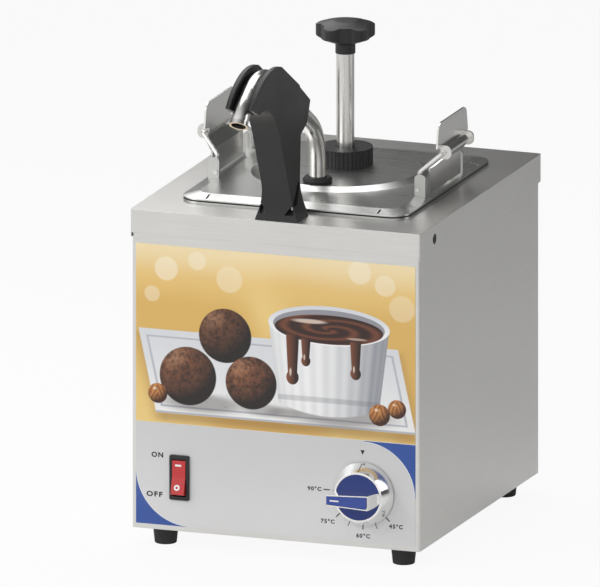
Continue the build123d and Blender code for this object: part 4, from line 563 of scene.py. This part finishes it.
# the rocker's two faces: the dash on the upper one, the ring on the lower one
rocker_marks = (
    ("rocker_dash", [bar(-2.15, 0, 2.15, 0, 1.3)], (-68.7, -2.19, 8.7), 1.2),
    ("rocker_ring", ring_outlines(0.85, 2.05), (-68.9, -4.35, -6.2), 16.8),
)
for name, outlines, (x, out_y, z), tilt in rocker_marks:
    mark = flat_shape(outlines, (x, FILM_FACE + out_y, DIAL_Z + z), math.radians(tilt))
    new_piece(name, mark, "print_white", "rocker")

# the pointer line on the dial's inlay
INLAY_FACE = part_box("dial_inlay")[0].y / MM
pointer = flat_shape([bar(-14.7, 0, -8.4, 0, 0.95)], (DIAL_X, INLAY_FACE, DIAL_Z))
new_piece("dial_pointer", pointer, "print_white", "dial")

# the engraved line at the top of the dial, along the skirt's sloping side
SKIRT_RUN, SKIRT_SPREAD = 9.6, 4.6
middle = (DIAL_X, SKIRT_LOW.y + SKIRT_RUN / 2, SKIRT_HIGH.z - SKIRT_SPREAD / 2)
line = flat_shape([bar(0, -4.6, 0, 4.4, 0.5)], middle, math.atan2(SKIRT_RUN, SKIRT_SPREAD))
new_piece("dial_line", line, "print_black", "dial")


# ---------------------------------------------------------------- stage, light and camera
# share of plain white in the floor, as the camera and as the metal sees it
FLOOR_IN_VIEW = 0.92
FLOOR_IN_METAL = 0.35

floor_mesh = bpy.data.meshes.new("floor")
floor_half = 6.0
floor_mesh.from_pydata(
    [(-floor_half, -floor_half, 0), (floor_half, -floor_half, 0), (floor_half, floor_half, 0), (-floor_half, floor_half, 0)],
    [], [(0, 1, 2, 3)],
)
floor = bpy.data.objects.new("floor", floor_mesh)
bpy.context.scene.collection.objects.link(floor)
floor_paint = Paint("floor_white")
tree = floor_paint.tree
# pale in front and to the left, greyer behind and to the right
sweep = (floor_paint.x * 0.6 + floor_paint.y * 0.8).step(-150.0, 450.0, 1.0, 0.0)
floor_paint.drive("Base Color", floor_paint.mix(sweep, (0.58, 0.58, 0.58, 1), (0.84, 0.84, 0.84, 1)))
floor_paint.set(Roughness=0.9)
path = tree.nodes.new("ShaderNodeLightPath")
seen, glossy, through = (
    Num(tree, path.outputs[f"Is {kind} Ray"]) for kind in ("Camera", "Glossy", "Transmission")
)
share = seen * FLOOR_IN_VIEW + glossy.most(through) * sweep * FLOOR_IN_METAL
glow = tree.nodes.new("ShaderNodeEmission")
glow.inputs["Strength"].default_value = 1.0
blend = tree.nodes.new("ShaderNodeMixShader")
tree.links.new(share.source, blend.inputs[0])
tree.links.new(floor_paint.shader.outputs[0], blend.inputs[1])
tree.links.new(glow.outputs[0], blend.inputs[2])
tree.links.new(blend.outputs[0], tree.nodes["Material Output"].inputs[0])
floor_mesh.materials.append(floor_paint.material)

# the room: bright in front, dark behind and above
world = bpy.data.worlds.new("room")
bpy.context.scene.world = world
world.use_nodes = True
tree = world.node_tree
background = tree.nodes["Background"]
direction = tree.nodes.new("ShaderNodeTexCoord").outputs["Generated"]
split = tree.nodes.new("ShaderNodeSeparateXYZ")
tree.links.new(direction, split.inputs[0])
east, north, up = (Num(tree, out) for out in split.outputs)
front = (north * -0.85 - east * 0.35).step(-0.25, 0.65)
level = front * 0.94 + 0.08
grey = tree.nodes.new("ShaderNodeCombineColor")
for socket in grey.inputs:
    tree.links.new(level.source, socket)
tree.links.new(grey.outputs[0], background.inputs["Color"])
background.inputs["Strength"].default_value = 1.0


def softbox(name, place, aim, width, height, power):
    lamp = bpy.data.lights.new(name, "AREA")
    lamp.shape = "RECTANGLE"
    lamp.size = width
    lamp.size_y = height
    lamp.energy = power
    holder = bpy.data.objects.new(name, lamp)
    bpy.context.scene.collection.objects.link(holder)
    holder.location = place
    holder.rotation_mode = "QUATERNION"
    holder.rotation_quaternion = (Vector(aim) - Vector(place)).to_track_quat("-Z", "Y")
    return holder


softbox("overhead", (-0.25, 0.45, 1.55), (0, 0, 0.2), 1.3, 0.9, 9.0)
softbox("key", (-1.3, -1.3, 1.2), (0, 0, 0.2), 0.9, 0.9, 9.0)
softbox("card", (-0.42, 0.52, 0.73), (0, -0.05, 0.235), 0.42, 0.5, 1.15)
softbox("side_card", (0.62, 0.12, 0.42), (0, 0, 0.3), 0.25, 0.5, 0.6)

azimuth, elevation = math.radians(19.9), math.radians(14.07)
back = Vector((
    math.sin(azimuth) * math.cos(elevation), -math.cos(azimuth) * math.cos(elevation), math.sin(elevation),
))
camera_data = bpy.data.cameras.new("camera")
camera_data.type = "ORTHO"
camera_data.ortho_scale = 0.402
camera = bpy.data.objects.new("camera", camera_data)
bpy.context.scene.collection.objects.link(camera)
camera.location = Vector((0.0176, -0.119, (CAP_TOP - 48.0) * MM)) + back * 2.0
camera.rotation_mode = "QUATERNION"
camera.rotation_quaternion = (-back).to_track_quat("-Z", "Y")
bpy.context.scene.camera = camera
bpy.context.scene.view_settings.view_transform = "Standard"
